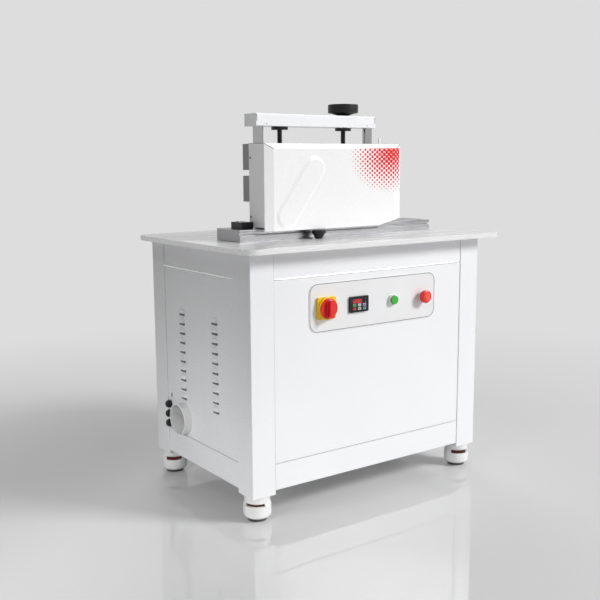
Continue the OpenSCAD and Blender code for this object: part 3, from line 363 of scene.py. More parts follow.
@dataclass(frozen=True)
class GlowFinish(Finish):
    """A lit mark of the meter's display."""

    power: float = 0.75

    def build(self) -> bpy.types.Material:
        """Returns the finished material."""
        sketch = Sketch(self.name)
        sketch.link(self.base(sketch), sketch.shader.inputs["Base Color"])
        sketch.put("Roughness", self.gloss)
        sketch.put("Emission Color", self.colour)
        sketch.put("Emission Strength", self.power)
        return sketch.material


@dataclass(frozen=True)
class RadialFinish(Finish):
    """A plastic cap whose colour changes from its centre to its rim, seen from the front."""

    middle: RGB = (0.9, 0.1, 0.03)
    centre: tuple[float, float] = (184.0, 606.0)
    reach: float = 15.0

    def base(self, sketch: Sketch) -> bpy.types.NodeSocket:
        """Makes the colour, warmer around the centre.

        Args:
            sketch: the material's nodes.

        Returns:
            The colour.
        """
        paint = super().base(sketch)
        x, _, z = sketch.axes()
        sides = [sketch.math("POWER", sketch.math("SUBTRACT", axis, at * MM), 2.0)
                 for axis, at in zip((x, z), self.centre)]
        distance = sketch.math("SQRT", sketch.math("ADD", *sides))
        share = sketch.ranged(distance, 0.0, 1.0, self.reach * MM * 0.3, self.reach * MM)
        return sketch.mixed(share, self.middle, paint)


SATIN_LINES = (3.0, 320.0, 320.0)
Moulded = partial(Finish, grain_scale=1500.0, grain_depth=0.00001)
Coarse = partial(Finish, mottle=0.2, mottle_scale=40.0, grain_depth=0.00005)
Key = partial(Finish, gloss=0.4, mottle_scale=60.0, grain_scale=2200.0)
FINISHES: dict[str, Finish] = {f.name: f for f in (
    Finish("white_paint", (0.885, 0.89, 0.905), 0.30, coat=0.25, mottle=0.012, mottle_scale=3.0,
           grain_scale=420.0, grain_depth=0.000012),
    Finish("table_metal", (0.88, 0.88, 0.885), 0.26, metal=0.32, mottle=0.008, mottle_scale=2.5,
           grain_scale=1.6, grain_depth=0.000002, grain_stretch=SATIN_LINES, gloss_spread=0.03),
    Finish("plate_grey", (0.84, 0.84, 0.85), 0.36, metal=0.12, mottle=0.02, grain_scale=1.8,
           grain_stretch=SATIN_LINES, grain_depth=0.00001),
    Finish("steel", (0.50, 0.50, 0.51), 0.34, metal=1.0, grain_scale=2.2, grain_stretch=SATIN_LINES),
    Finish("rail_metal", (0.36, 0.36, 0.37), 0.30, metal=0.95, mottle=0.05, grain_scale=1.8,
           grain_stretch=SATIN_LINES, gloss_spread=0.09),
    Finish("chrome", (0.46, 0.46, 0.47), 0.12, metal=1.0, mottle=0.02, grain_scale=2.0,
           grain_stretch=(160.0, 160.0, 14.0), grain_depth=0.000004, gloss_spread=0.04),
    Finish("black_oxide", (0.010, 0.010, 0.011), 0.30, mottle=0.25, mottle_scale=30.0,
           gloss_spread=0.08, shine=0.32),
    Finish("black_plastic", (0.010, 0.010, 0.011), 0.30, mottle=0.15, mottle_scale=25.0,
           grain_scale=2600.0, shine=0.35),
    Moulded("yellow_plastic", (0.95, 0.60, 0.0), 0.30, coat=0.2, mottle=0.03),
    Moulded("red_plastic", (0.78, 0.012, 0.014), 0.30, coat=0.2, mottle=0.05),
    Moulded("green_plastic", (0.045, 0.42, 0.045), 0.28, coat=0.25, mottle=0.04),
    Finish("white_plastic", (0.86, 0.86, 0.86), 0.26, coat=0.25, mottle=0.015, grain_scale=1200.0,
           grain_depth=0.00001),
    Finish("lilac_plastic", (0.58, 0.52, 0.80), 0.4, mottle=0.03, grain_scale=2200.0),
    Finish("teal_plastic", (0.42, 0.60, 0.60), 0.4, mottle=0.03, grain_scale=2200.0),
    Coarse("wheel_plastic", (0.011, 0.011, 0.012), 0.38, grain_scale=1700.0, shine=0.3),
    Coarse("ring_plastic", (0.085, 0.014, 0.016), 0.42, grain_scale=1700.0, shine=0.3),
    Key("key_green", (0.10, 0.34, 0.14), mottle=0.1),
    Key("key_red", (0.45, 0.05, 0.05), mottle=0.1),
    Key("key_white", (0.52, 0.52, 0.50), mottle=0.05),
    Key("key_lilac", (0.40, 0.34, 0.58), mottle=0.08),
    Key("key_teal", (0.16, 0.34, 0.36), mottle=0.08),
    Coarse("foot_base", (0.07, 0.07, 0.075), 0.55, grain_scale=1400.0),
    Finish("hose_grey", (0.20, 0.21, 0.23), 0.55, mottle=0.1, grain_scale=1.0,
           grain_stretch=(130.0, 130.0, 130.0), grain_depth=0.0006),
    Finish("belt_rubber", (0.03, 0.03, 0.03), 0.72, mottle=0.25, mottle_scale=22.0, grain_scale=700.0,
           grain_depth=0.00012),
    Finish("motor_paint", (0.07, 0.16, 0.27), 0.38, coat=0.15, mottle=0.08, grain_scale=500.0,
           grain_depth=0.00004),
    Finish("unit_grey", (0.08, 0.08, 0.085), 0.5, mottle=0.12, grain_scale=1800.0),
    Finish("bronze", (0.62, 0.38, 0.13), 0.32, metal=1.0, mottle=0.08, grain_scale=2.4,
           grain_stretch=(240.0, 240.0, 30.0)),
    Finish("cutter_metal", (0.50, 0.47, 0.42), 0.24, metal=1.0, grain_scale=2.0,
           grain_stretch=(180.0, 180.0, 40.0)),
    Finish("housing_grey", (0.25, 0.25, 0.26), 0.42, metal=0.3, mottle=0.08, grain_scale=650.0,
           grain_depth=0.00006),
    HalftoneFinish("cover_print", (0.90, 0.90, 0.905), 0.28, coat=0.3, mottle=0.01, mottle_scale=3.0,
                   grain_scale=420.0, grain_depth=0.00001),
    RadialFinish("stop_red", (0.82, 0.014, 0.02), 0.26, coat=0.3, mottle=0.04, grain_scale=1500.0,
                 grain_depth=0.00001),
    Finish("plate_edge_line", (0.12, 0.12, 0.125), 0.3, metal=0.5, mottle=0.12, mottle_scale=9.0),
    Finish("display_glass", (0.035, 0.006, 0.006), 0.12, coat=0.5, mottle=0.2),
    Finish("bead_gloss", (0.95, 0.95, 0.955), 0.14, metal=0.8, mottle=0.01, mottle_scale=8.0),
    # Dark grey painted shade: in the panel seams and lower folds, under the louvre scoops, and along the cover's
    # edges and creases.
    Finish("painted_shade_grey", (0.16, 0.16, 0.165), 0.6, mottle=0.2, mottle_scale=30.0),
    # Near black for the keys' printed symbols, and painted shade in the notches of the beam.
    Finish("dark_print_and_shade", (0.04, 0.04, 0.042), 0.6, mottle=0.2, mottle_scale=30.0),
    GlowFinish("display_red", (0.9, 0.03, 0.05), 0.4),
)}


class Palette:
    """Builds each finish once and hands it out."""

    made: dict[str, bpy.types.Material] = {}

    @classmethod
    def get(cls, name: str) -> bpy.types.Material:
        """Hands out the material of a finish.

        Args:
            name: the finish.

        Returns:
            The material, built at the first call.
        """
        if name not in cls.made:
            cls.made[name] = FINISHES[name].build()
        return cls.made[name]


# The bench: Blender's own operators, called as by hand


class Kind(Enum):
    """What is picked in edit mode."""

    VERTS = "VERT"
    EDGES = "EDGE"
    FACES = "FACE"


class Axis(Enum):
    """The direction that a turned or extruded piece points in, from its own +Z."""

    UP = (0.0, 0.0, 0.0)
    FRONT = (math.pi / 2, 0.0, 0.0)
    BACK = (-math.pi / 2, 0.0, 0.0)
    LEFT = (0.0, -math.pi / 2, 0.0)
    RIGHT = (0.0, math.pi / 2, 0.0)


class Bench:
    """Makes, shapes and finishes pieces."""

    frame: dict = {}

    @staticmethod
    def hold(*pieces: Piece) -> None:
        """Selects these pieces alone, the first one active."""
        bpy.ops.object.select_all(action="DESELECT")
        for piece in pieces:
            piece.select_set(True)
        bpy.context.view_layer.objects.active = pieces[0]

    @staticmethod
    @contextmanager
    def editing(piece: Piece) -> Iterator[None]:
        """Opens a piece in edit mode, with all of it selected.

        Args:
            piece: the piece.

        Yields:
            Nothing; edit mode is left at the end.
        """
        Bench.hold(piece)
        bpy.ops.object.mode_set(mode="EDIT")
        bpy.ops.mesh.select_mode(type="VERT")
        bpy.ops.mesh.select_all(action="SELECT")
        try:
            yield
        finally:
            bpy.ops.object.mode_set(mode="OBJECT")

    @staticmethod
    def pick(piece: Piece, kind: Kind, test: Test) -> int:
        """Selects what passes a test in edit mode.

        Args:
            piece: the piece being edited.
            kind: vertices, edges or faces.
            test: gets the middle in millimetres and the direction (a normal, or an edge's run).

        Returns:
            How many were selected.
        """
        bpy.ops.mesh.select_mode(type=kind.value)
        bpy.ops.mesh.select_all(action="DESELECT")
        mesh = bmesh.from_edit_mesh(piece.data)
        count = 0
        if kind is Kind.VERTS:
            items = [(v, v.co, v.normal) for v in mesh.verts]
        elif kind is Kind.EDGES:
            items = [(e, (e.verts[0].co + e.verts[1].co) / 2, (e.verts[1].co - e.verts[0].co).normalized())
                     for e in mesh.edges]
        else:
            items = [(f, f.calc_center_median(), f.normal) for f in mesh.faces]
        for item, middle, way in items:
            if test(middle / MM, way):
                item.select_set(True)
                count += 1
        mesh.select_flush_mode()
        bmesh.update_edit_mesh(piece.data)
        return count

    @staticmethod
    def outward(fill: bool = False) -> None:
        """Turns the faces of the edited piece outward.

        Args:
            fill: whether its holes are filled first.
        """
        bpy.ops.mesh.select_all(action="SELECT")
        if fill:
            bpy.ops.mesh.fill_holes(sides=0)
            bpy.ops.mesh.select_all(action="SELECT")
        bpy.ops.mesh.normals_make_consistent(inside=False)

    @staticmethod
    def eased(piece: Piece, test: Test, width: float, steps: int) -> None:
        """Rounds the edges that pass a test.

        Args:
            piece: the piece.
            test: gets an edge's middle in millimetres and its run.
            width: the rounding's width in millimetres.
            steps: the rounding's segments.
        """
        with Bench.editing(piece):
            if Bench.pick(piece, Kind.EDGES, test):
                bpy.ops.mesh.bevel(offset=width * MM, segments=steps, affect="EDGES", clamp_overlap=True)

    @staticmethod
    def settle(piece: Piece) -> Piece:
        """Puts a piece's place, turn and scale into its mesh.

        Args:
            piece: the piece.

        Returns:
            The piece.
        """
        Bench.hold(piece)
        bpy.ops.object.transform_apply(location=True, rotation=True, scale=True)
        return piece

    @staticmethod
    def place(piece: Piece, at: Point, axis: Axis = Axis.UP, roll: float = 0.0) -> Piece:
        """Puts a piece made at the origin in its place.

        Args:
            piece: the piece.
            at: its place in millimetres.
            axis: where its +Z points.
            roll: its turn round that axis.

        Returns:
            The piece.
        """
        turn = Matrix.Rotation(roll, 4, "Z")
        turn = Matrix.Rotation(axis.value[0], 4, "X") @ Matrix.Rotation(axis.value[1], 4, "Y") @ turn
        piece.matrix_world = Matrix.Translation(Vector(at) * MM) @ turn
        bpy.context.view_layer.update()
        return Bench.settle(piece)

    @staticmethod
    def refine(piece: Piece, width: float, steps: int = 2, angle: float = 32.0,
               smooth: float | None = None) -> Piece:
        """Rounds a piece's edges and shades it.

        Args:
            piece: the piece.
            width: the rounding's width in millimetres, or 0 for none.
            steps: the rounding's segments.
            angle: the smallest turn between faces that counts as an edge, in degrees.
            smooth: the largest turn that is shaded smooth, or None for the same angle.

        Returns:
            The piece.
        """
        Bench.hold(piece)
        if width:
            bevel = piece.modifiers.new("edge", "BEVEL")
            bevel.width = width * MM
            bevel.segments = steps
            bevel.limit_method = "ANGLE"
            bevel.angle_limit = math.radians(angle)
            bevel.use_clamp_overlap = True
            bpy.ops.object.modifier_apply(modifier="edge")
        bpy.ops.object.shade_smooth_by_angle(angle=math.radians(angle if smooth is None else smooth))
        flat = piece.modifiers.new("flat", "WEIGHTED_NORMAL")
        flat.keep_sharp = True
        bpy.ops.object.modifier_apply(modifier="flat")
        return piece

    @staticmethod
    def copied(node: str) -> Piece:
        """Copies a node's mesh, merged and with its flat faces made whole.

        Args:
            node: the node.

        Returns:
            The copy.
        """
        source = Bench.frame["nodes"][node]
        Bench.hold(source)
        bpy.ops.object.duplicate(linked=False)
        piece = bpy.context.view_layer.objects.active
        piece.parent = None
        piece.matrix_world = Matrix.Identity(4)
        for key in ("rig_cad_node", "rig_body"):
            if key in piece:
                del piece[key]
        piece.name = node + ".finished"
        with Bench.editing(piece):
            bpy.ops.mesh.customdata_custom_splitnormals_clear()
            bpy.ops.mesh.remove_doubles(threshold=0.000004)
            bpy.ops.mesh.dissolve_limited(angle_limit=math.radians(0.35))
        return piece

    @staticmethod
    def rod(name: str, radius: float, length: float, sides: int = 32) -> Piece:
        """Makes a rod that stands on the origin.

        Args:
            name: the piece's name.
            radius: its radius in millimetres.
            length: its length in millimetres.
            sides: the sides of its section.

        Returns:
            The rod.
        """
        bpy.ops.mesh.primitive_cylinder_add(vertices=sides, radius=radius * MM, depth=length * MM,
                                            location=(0, 0, length * MM / 2))
        piece = bpy.context.view_layer.objects.active
        piece.name = name
        return Bench.settle(piece)

    @staticmethod
    def bar(name: str, start: Point, end: Point, radius: float, sides: int = 16) -> Piece:
        """Makes a round bar from one point to another.

        Args:
            name: the piece's name.
            start: the first end in millimetres.
            end: the other end in millimetres.
            radius: its radius in millimetres.
            sides: the sides of its section.

        Returns:
            The bar.
        """
        run = Vector(end) - Vector(start)
        piece = Bench.rod(name, radius, run.length, sides)
        turn = run.to_track_quat("Z", "Y").to_matrix().to_4x4()
        piece.matrix_world = Matrix.Translation(Vector(start) * MM) @ turn
        bpy.context.view_layer.update()
        return Bench.settle(piece)

    @staticmethod
    def slab(name: str, low: Point, high: Point) -> Piece:
        """Makes a block between two corners.

        Args:
            name: the piece's name.
            low: the lower corner in millimetres.
            high: the upper corner in millimetres.

        Returns:
            The block.
        """
        low_v, high_v = Vector(low), Vector(high)
        bpy.ops.mesh.primitive_cube_add(size=1.0, location=(low_v + high_v) / 2 * MM)
        piece = bpy.context.view_layer.objects.active
        piece.name = name
        piece.scale = (high_v - low_v) * MM
        return Bench.settle(piece)

    @staticmethod
    def traced(name: str, profile: Profile) -> Piece:
        """Draws a profile as a chain of edges in the plane y = 0.

        Args:
            name: the piece's name.
            profile: radius and height of each point.

        Returns:
            The chain.
        """
        bpy.ops.mesh.primitive_plane_add(size=MM, location=(0, 0, 0))
        piece = bpy.context.view_layer.objects.active
        piece.name = name
        with Bench.editing(piece):
            bpy.ops.mesh.merge(type="CENTER")
            at = Vector((profile[0][0], 0, profile[0][1]))
            bpy.ops.transform.translate(value=at * MM)
            for radius, height in profile[1:]:
                new = Vector((radius, 0, height))
                bpy.ops.mesh.extrude_region_move(TRANSFORM_OT_translate={"value": (new - at) * MM})
                at = new
        return piece

    @staticmethod
    def turned(name: str, profile: Profile, steps: int = 48, sweep: float = 360.0) -> Piece:
        """Turns a profile round the Z axis, as on a lathe.

        Args:
            name: the piece's name.
            profile: radius and height of each point, from the axis or closed on itself.
            steps: the segments of the turn.
            sweep: the turn in degrees.

        Returns:
            The turned piece, its axis on the origin.
        """
        piece = Bench.traced(name, profile)
        with Bench.editing(piece):
            bpy.ops.mesh.spin(steps=steps, angle=math.radians(sweep), center=(0, 0, 0), axis=(0, 0, 1))
            bpy.ops.mesh.select_all(action="SELECT")
            bpy.ops.mesh.remove_doubles(threshold=0.000005)
            Bench.outward(sweep < 360)
        return piece

    @staticmethod
    def fluted(piece: Piece, steps: int, wide: int, beyond: float, levels: tuple[float, float],
               share: float) -> None:
        """Presses flutes into the rim of a turned piece.

        Args:
            piece: the turned piece.
            steps: the segments of its turn.
            wide: how many of every four columns of vertices sink in.
            beyond: the radius in millimetres beyond which they lie.
            levels: the heights in millimetres between which they lie.
            share: the radius that is left.
        """
        def flute(middle: Vector, way: Vector) -> bool:
            """Tells whether a vertex lies in a flute of the rim."""
            turn = round(math.atan2(middle.y, middle.x) / (2 * math.pi / steps))
            out = math.hypot(middle.x, middle.y) > beyond
            return turn % 4 < wide and out and levels[0] < middle.z < levels[1]

        with Bench.editing(piece):
            Bench.pick(piece, Kind.VERTS, flute)
            bpy.ops.transform.resize(value=(share, share, 1.0))

    @staticmethod
    def joined(name: str, pieces: list[Piece]) -> Piece:
        """Joins pieces into one.

        Args:
            name: the joined piece's name.
            pieces: the pieces.

        Returns:
            The joined piece.
        """
        Bench.hold(*pieces)
        if len(pieces) > 1:
            bpy.ops.object.join()
        pieces[0].name = name
        return pieces[0]

    @staticmethod
    def repeated(name: str, model: Piece, spots: list[Point], axis: Axis, roll: float = 0.0) -> Piece:
        """Copies a model made at the origin to each spot and joins the copies.

        Args:
            name: the joined piece's name.
            model: the model, which becomes the first copy.
            spots: the places, in millimetres.
            axis: where the model's +Z points.
            roll: its turn round that axis.

        Returns:
            The joined piece.
        """
        copies = []
        for spot in spots[1:]:
            Bench.hold(model)
            bpy.ops.object.duplicate(linked=False)
            copies.append(Bench.place(bpy.context.view_layer.objects.active, spot, axis, roll))
        copies.insert(0, Bench.place(model, spots[0], axis, roll))
        return Bench.joined(name, copies)

    @staticmethod
    def done(piece: Piece, body: str, finish: str, slot: str | None = None,
             stands_for: tuple[str, ...] = ()) -> Piece:
        """Gives a piece its finish and body, and reports it.

        Args:
            piece: the finished piece.
            body: the body that it rides on.
            finish: the name of its finish.
            slot: the record's slot, where it isn't the finish's name; not used.
            stands_for: the nodes that it replaces.

        Returns:
            The piece.
        """
        piece.data.materials.clear()
        piece.data.materials.append(Palette.get(finish))
        if stands_for:
            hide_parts(*stands_for)
        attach(piece, body)
        LOG.info("%s: %d faces, on %s", piece.name, len(piece.data.polygons), body)
        return piece


# The frame's own solids

KEYS = tuple(f"meter_key_{k}" for k in range(1, 7))
WHEELS = tuple(f"thumbwheel_{corner}" for corner in ("fl", "fr", "rl", "rr"))


@dataclass(frozen=True)
class Edge:
    """How a node's edges are rounded: the width in millimetres and the segments."""

    width: float
    steps: int = 2


@dataclass
class Solids:
    """The frame's solids: each gets its slot's finish, and those that show get rounded edges."""

    rounded: dict[Edge, tuple[str, ...]] = field(default_factory=lambda: {
        Edge(0.0): ("duct_hose", "cutter_hood", "spindle_motor"),
        Edge(0.3): ("bottom_tray", "electrical_plate"),
        Edge(0.4): ("control_plate", "stop_stem", "cutter_disc", "socket_screws", *KEYS),
        Edge(0.5): ("meter_body", "guide_columns", "feed_belt", "lift_chain", *WHEELS),
        Edge(0.6): ("column_flanges", "head_plate", "lift_nuts", "roller_frame", "drive_roller", "idler_roller"),
        Edge(0.7): ("dust_port",),
        Edge(0.7, 3): ("foot_housings",),
        Edge(0.8): ("rail_yoke", "motor_bracket"),
        Edge(0.8, 3): ("screw_bearings",),
        Edge(0.9, 3): ("infeed_rail", "outfeed_rail"),
        Edge(1.0, 3): ("foot_pads",),
        Edge(1.2): ("electrical_units",),
        Edge(1.2, 3): ("table_top", "start_bezel", "stop_collar"),
        Edge(1.4, 3): ("switch_base", "bearing_blocks"),
        Edge(1.4, 4): ("start_cap",),
        Edge(1.8, 3): ("feed_gearmotor",),
        Edge(1.8, 4): ("switch_knob",),
    })
    special: dict[str, str] = field(default_factory=lambda: {
        **dict.fromkeys(WHEELS, "ring_plastic"),
        **dict(zip(KEYS, ("key_green", "key_white", "key_lilac", "key_red", "key_white", "key_teal"))),
    })

    def build(self) -> None:
        """Dresses every node, and replaces the rounded ones by their copies."""
        slots = {s["node"]: s["material_slot"] for s in Bench.frame["record"]["subparts"]}
        bodies = {n: b for b, nodes in Bench.frame["record"]["behaviour"]["bodies"].items() for n in nodes}
        edges = {node: edge for edge, nodes in self.rounded.items() for node in nodes}
        for node, solid in Bench.frame["nodes"].items():
            solid.data.materials.clear()
            finish = self.special.get(node, slots[node])
            solid.data.materials.append(Palette.get(finish))
            edge = edges.get(node)
            if edge:
                piece = Bench.refine(Bench.copied(node), edge.width, edge.steps)
                Bench.done(piece, bodies[node], finish, slots[node], (node,))


@dataclass
class Casework:
    """The corner posts with their folded corners, and the left panel with its pressed louvres."""

    post: float = 80.0
    corner: float = 3.0
    left: float = -458.0
    right: float = 434.0
    front: float = -290.0
    rear: float = 306.0
    panel_face: float = -456.0
    seam: float = 1.3
    # The next four set the dark strips that paint the shade in the panel seams and lower folds.
    seal: float = 0.7
    seam_shade_out: float = 0.05
    seam_shade_in: float = 0.5
    fold_sink: float = 0.02
    bead: float = 1.9
    bead_out: float = 0.9
    bead_end: float = 4.0
    upper_fold: float = 703.0
    panel_z: tuple[float, float] = (88.0, 780.6)
    lower_fold: float = 167.0
    louvre_size: tuple[float, float, float] = (40.0, 9.0, 14.0)
    louvre_back: tuple[float, float, float] = (20.4, -1.2, 14.6)
    # Size of the dark slab under each scoop, painted shade for the inside of its opening.
    louvre_painted_shade: tuple[float, float, float] = (17.2, -9.4, 0.6)
    louvre_rows: int = 10
    louvre_pitch: float = 30.0
    louvre_first: float = 563.0
    louvre_ys: tuple[float, float] = (114.0, -88.0)

    def posts(self) -> None:
        """Rounds the folded corners of the posts."""
        piece = Bench.copied("machine_frame")

        def folded(middle: Vector, way: Vector) -> bool:
            """Tells whether an edge is a post's outer corner."""
            if abs(way.z) < 0.99:
                return False
            xs = (self.left, self.left + self.post, self.right - self.post, self.right)
            ys = (self.front, self.front + self.post, self.rear - self.post, self.rear)
            return min(abs(middle.x - x) for x in xs) < 0.05 and min(abs(middle.y - y) for y in ys) < 0.05

        Bench.eased(piece, folded, self.corner, 4)
        Bench.refine(piece, 0.3, 2, 40.0)
        Bench.done(piece, "cabinet", "white_paint", stands_for=("machine_frame",))

    def seamed(self, piece: Piece, axis: int, face: float) -> Piece:
        """Rounds the outline of a panel's outer face, so that a seam shows between it and the posts.

        Args:
            piece: the panel.
            axis: the axis that its face looks along, 0 for X or 1 for Y.
            face: the place of its outer face on that axis.

        Returns:
            The panel.
        """
        low = [min(v.co[k] for v in piece.data.vertices) / MM for k in range(3)]
        high = [max(v.co[k] for v in piece.data.vertices) / MM for k in range(3)]
        across = 1 - axis

        def outline(middle: Vector, way: Vector) -> bool:
            """Tells whether an edge lies on the face's outline."""
            if abs(middle[axis] - face) > 0.05:
                return False
            if abs(way.z) > 0.99:
                return min(abs(middle[across] - low[across]), abs(middle[across] - high[across])) < 0.05
            return abs(way[across]) > 0.99 and min(abs(middle.z - low[2]), abs(middle.z - high[2])) < 0.05

        Bench.eased(piece, outline, self.seam, 2)
        return Bench.refine(piece, 0.0, 2, 30.0)

    def panels(self) -> None:
        """Makes the front, right and rear panels."""
        for node, axis, face in (("front_panel", 1, self.front + 2), ("right_panel", 0, self.right - 2),
                                 ("rear_panel", 1, self.rear - 2)):
            piece = self.seamed(Bench.copied(node), axis, face)
            Bench.done(piece, "cabinet", "white_paint", stands_for=(node,))

    def seals(self) -> None:
        """Lays dark strips in the seams beside the panels and in their lower folds, as painted shade in these
        grooves.
        """
        low, high = self.panel_z
        half, fold = self.seal / 2, self.lower_fold
        strips = []
        for axis, faces, inner in (
                (1, ((self.front + 2, -1), (self.rear - 2, 1)), (self.left + self.post, self.right - self.post)),
                (0, ((self.left + 2, -1), (self.right - 2, 1)), (self.front + self.post, self.rear - self.post))):
            for face, sign in faces:
                near, far = sorted((face + sign * self.seam_shade_out, face - sign * self.seam_shade_in))
                spans = [((at - half, low), (at + half, high), 0.0) for at in inner]
                spans.append(((inner[0], fold - half), (inner[1], fold + half), self.fold_sink))
                for first, last, sink in spans:
                    corners = [[at, z] for at, z in (first, last)]
                    corners[0].insert(axis, near + sink)
                    corners[1].insert(axis, far - sink)
                    strips.append(Bench.slab("seal", *corners))
        # The joined strips are painted shade: dark grey in the seams and folds.
        seals = Bench.joined("panel_painted_seam_shade", strips)
        Bench.done(Bench.refine(seals, 0.08), "cabinet", "painted_shade_grey", "black_plastic")

    def beads(self) -> None:
        """Adds the light pressed bead along each panel's upper fold."""
        ends = self.post + self.bead_end
        xs, ys = (self.left + ends, self.right - ends), (self.front + ends, self.rear - ends)
        z, r, out = self.upper_fold, self.bead, self.bead_out
        bars = [Bench.bar("bead", (xs[0], y, z), (xs[1], y, z), r)
                for y in (self.front + 2 - out, self.rear - 2 + out)]
        bars += [Bench.bar("bead", (x, ys[0], z), (x, ys[1], z), r)
                 for x in (self.left + 2 - out, self.right - 2 + out)]
        beads = Bench.joined("fold_beads", bars)
        Bench.done(Bench.refine(beads, 0.2), "cabinet", "bead_gloss", "white_paint")

    def scoop(self) -> Piece:
        """Returns one pressed scoop, open underneath, with its back on the plane y = 0."""
        wide, out, high = self.louvre_size
        bpy.ops.mesh.primitive_uv_sphere_add(segments=24, ring_count=12, radius=1.0, location=(0, 0, 0))
        piece = bpy.context.view_layer.objects.active
        piece.scale = (wide / 2 * MM, out * MM, high * MM)
        Bench.settle(piece)
        with Bench.editing(piece):
            bpy.ops.mesh.bisect(plane_co=(0, 0, 0), plane_no=(0, 0, 1), clear_inner=True)
            bpy.ops.mesh.select_all(action="SELECT")
            bpy.ops.mesh.bisect(plane_co=(0, 0.0001, 0), plane_no=(0, 1, 0), clear_outer=True)
            Bench.outward()
        wall = piece.modifiers.new("wall", "SOLIDIFY")
        wall.thickness = 0.9 * MM
        wall.offset = -1.0
        Bench.hold(piece)
        bpy.ops.object.modifier_apply(modifier="wall")
        return Bench.refine(piece, 0.0, 2, 50.0)

    def side(self) -> None:
        """Rebuilds the left panel: its sharp hoods give way to pressed scoops, with dark slabs under them as painted
        shade.
        """
        piece = Bench.copied("left_panel")
        with Bench.editing(piece):
            Bench.pick(piece, Kind.VERTS, lambda middle, way: middle.x < self.panel_face - 0.05)
            bpy.ops.mesh.delete(type="VERT")
            Bench.outward(True)
        self.seamed(piece, 0, self.panel_face)
        Bench.done(piece, "cabinet", "white_paint", stands_for=("left_panel",))
        spots = [(self.panel_face, y, self.louvre_first - k * self.louvre_pitch)
                 for y in self.louvre_ys for k in range(self.louvre_rows)]
        model = self.scoop()
        model.matrix_world = Matrix.Rotation(-math.pi / 2, 4, "Z")
        Bench.settle(model)
        scoops = Bench.repeated("louvre_scoops", model, spots, Axis.UP)
        Bench.done(scoops, "cabinet", "white_paint")
        half, low, high = self.louvre_back
        back = Bench.slab("louvre_back", (-0.03, -half, low), (0.8, half, high))
        backs = Bench.repeated("louvre_backs", Bench.refine(back, 0.02), spots, Axis.UP)
        Bench.done(backs, "cabinet", "white_paint")
        # Under each scoop a dark slab paints the shade inside its opening.
        half, low, high = self.louvre_painted_shade
        mouth = Bench.slab("louvre_painted_shade", (-0.4, -half, low), (0.0, half, high))
        Bench.eased(mouth, lambda middle, way: abs(way.x) > 0.99, 2.4, 4)
        mouths = Bench.repeated("louvre_painted_shades", Bench.refine(mouth, 0.0), spots, Axis.UP)
        Bench.done(mouths, "cabinet", "painted_shade_grey", "black_plastic")

    def build(self) -> None:
        """Makes the posts and the panels."""
        self.posts()
        self.panels()
        self.seals()
        self.beads()
        self.side()


@dataclass
class Entries:
    """The dust port's rim and the cable glands in the left panel."""

    port: Point = (-483.0, 114.0, 222.0)
    port_r: float = 50.0
    gland_x: float = -456.0
    gland_y: float = 210.0
    gland_zs: tuple[float, ...] = (249.0, 217.0, 185.0)
    nut: tuple[float, float] = (14.0, 6.0)
    cap: tuple[float, float] = (12.0, 9.5)

    def rim(self) -> None:
        """Adds the bead round the mouth of the port."""
        r = self.port_r
        bead = [(r + 1.0, -4.5), (r + 1.6, -2.6), (r + 1.3, -0.6), (r - 0.4, 0.2), (r - 2.6, 0.0), (r - 3.3, -1.2),
                (r - 3.1, -4.5)]
        piece = Bench.turned("port_rim", bead + [bead[0]], 72)
        Bench.place(piece, self.port, Axis.LEFT)
        Bench.refine(piece, 0.0, 2, 50.0)
        Bench.done(piece, "cabinet", "white_plastic")

    def glands(self) -> None:
        """Makes the three glands: a hexagon, a ribbed domed cap and a seal."""
        spots = [(self.gland_x, self.gland_y, z) for z in self.gland_zs]
        across, thick = self.nut
        nut = Bench.rod("gland_nut", across, thick, 6)
        nuts = Bench.repeated("gland_nuts", Bench.refine(nut, 0.9, 3), spots, Axis.LEFT)
        Bench.done(nuts, "cabinet", "black_plastic", stands_for=("cable_glands",))
        r, high = self.cap
        profile = [(4.4, thick + high * 0.55), (5.4, thick + high), (8.2, thick + high * 0.98),
                   (10.4, thick + high * 0.82), (r, thick + high * 0.45), (r, thick), (4.4, thick), (4.4, thick + 3)]
        cap = Bench.turned("gland_cap", profile + [profile[0]], 48)
        Bench.fluted(cap, 48, 2, r - 2.5, (thick + 0.5, math.inf), 0.955)
        caps = Bench.repeated("gland_caps", Bench.refine(cap, 0.0, 2, 40.0), spots, Axis.LEFT)
        Bench.done(caps, "cabinet", "black_plastic")
        seal = Bench.turned("gland_seal", [(0.0, thick + 6.4), (2.8, thick + 6.6), (4.6, thick + 7.4),
                                           (4.6, thick + 5.0), (0.0, thick + 5.0)], 32)
        seals = Bench.repeated("gland_seals", Bench.refine(seal, 0.0), spots, Axis.LEFT)
        Bench.done(seals, "cabinet", "belt_rubber")

    def slot(self) -> None:
        """Fills the small slot over the glands with a black grommet."""
        y, z, half, tall = 199.0, 281.0, 2.8, 6.3
        grommet = Bench.slab("slot_grommet", (self.gland_x - 0.5, y - half, z - tall),
                             (self.gland_x + 1.6, y + half, z + tall))
        Bench.eased(grommet, lambda middle, way: abs(way.x) > 0.99, 2.6, 5)
        Bench.done(Bench.refine(grommet, 0.2), "cabinet", "belt_rubber")

    def build(self) -> None:
        """Makes the port's rim, the glands and the slot's grommet."""
        self.rim()
        self.glands()
        self.slot()


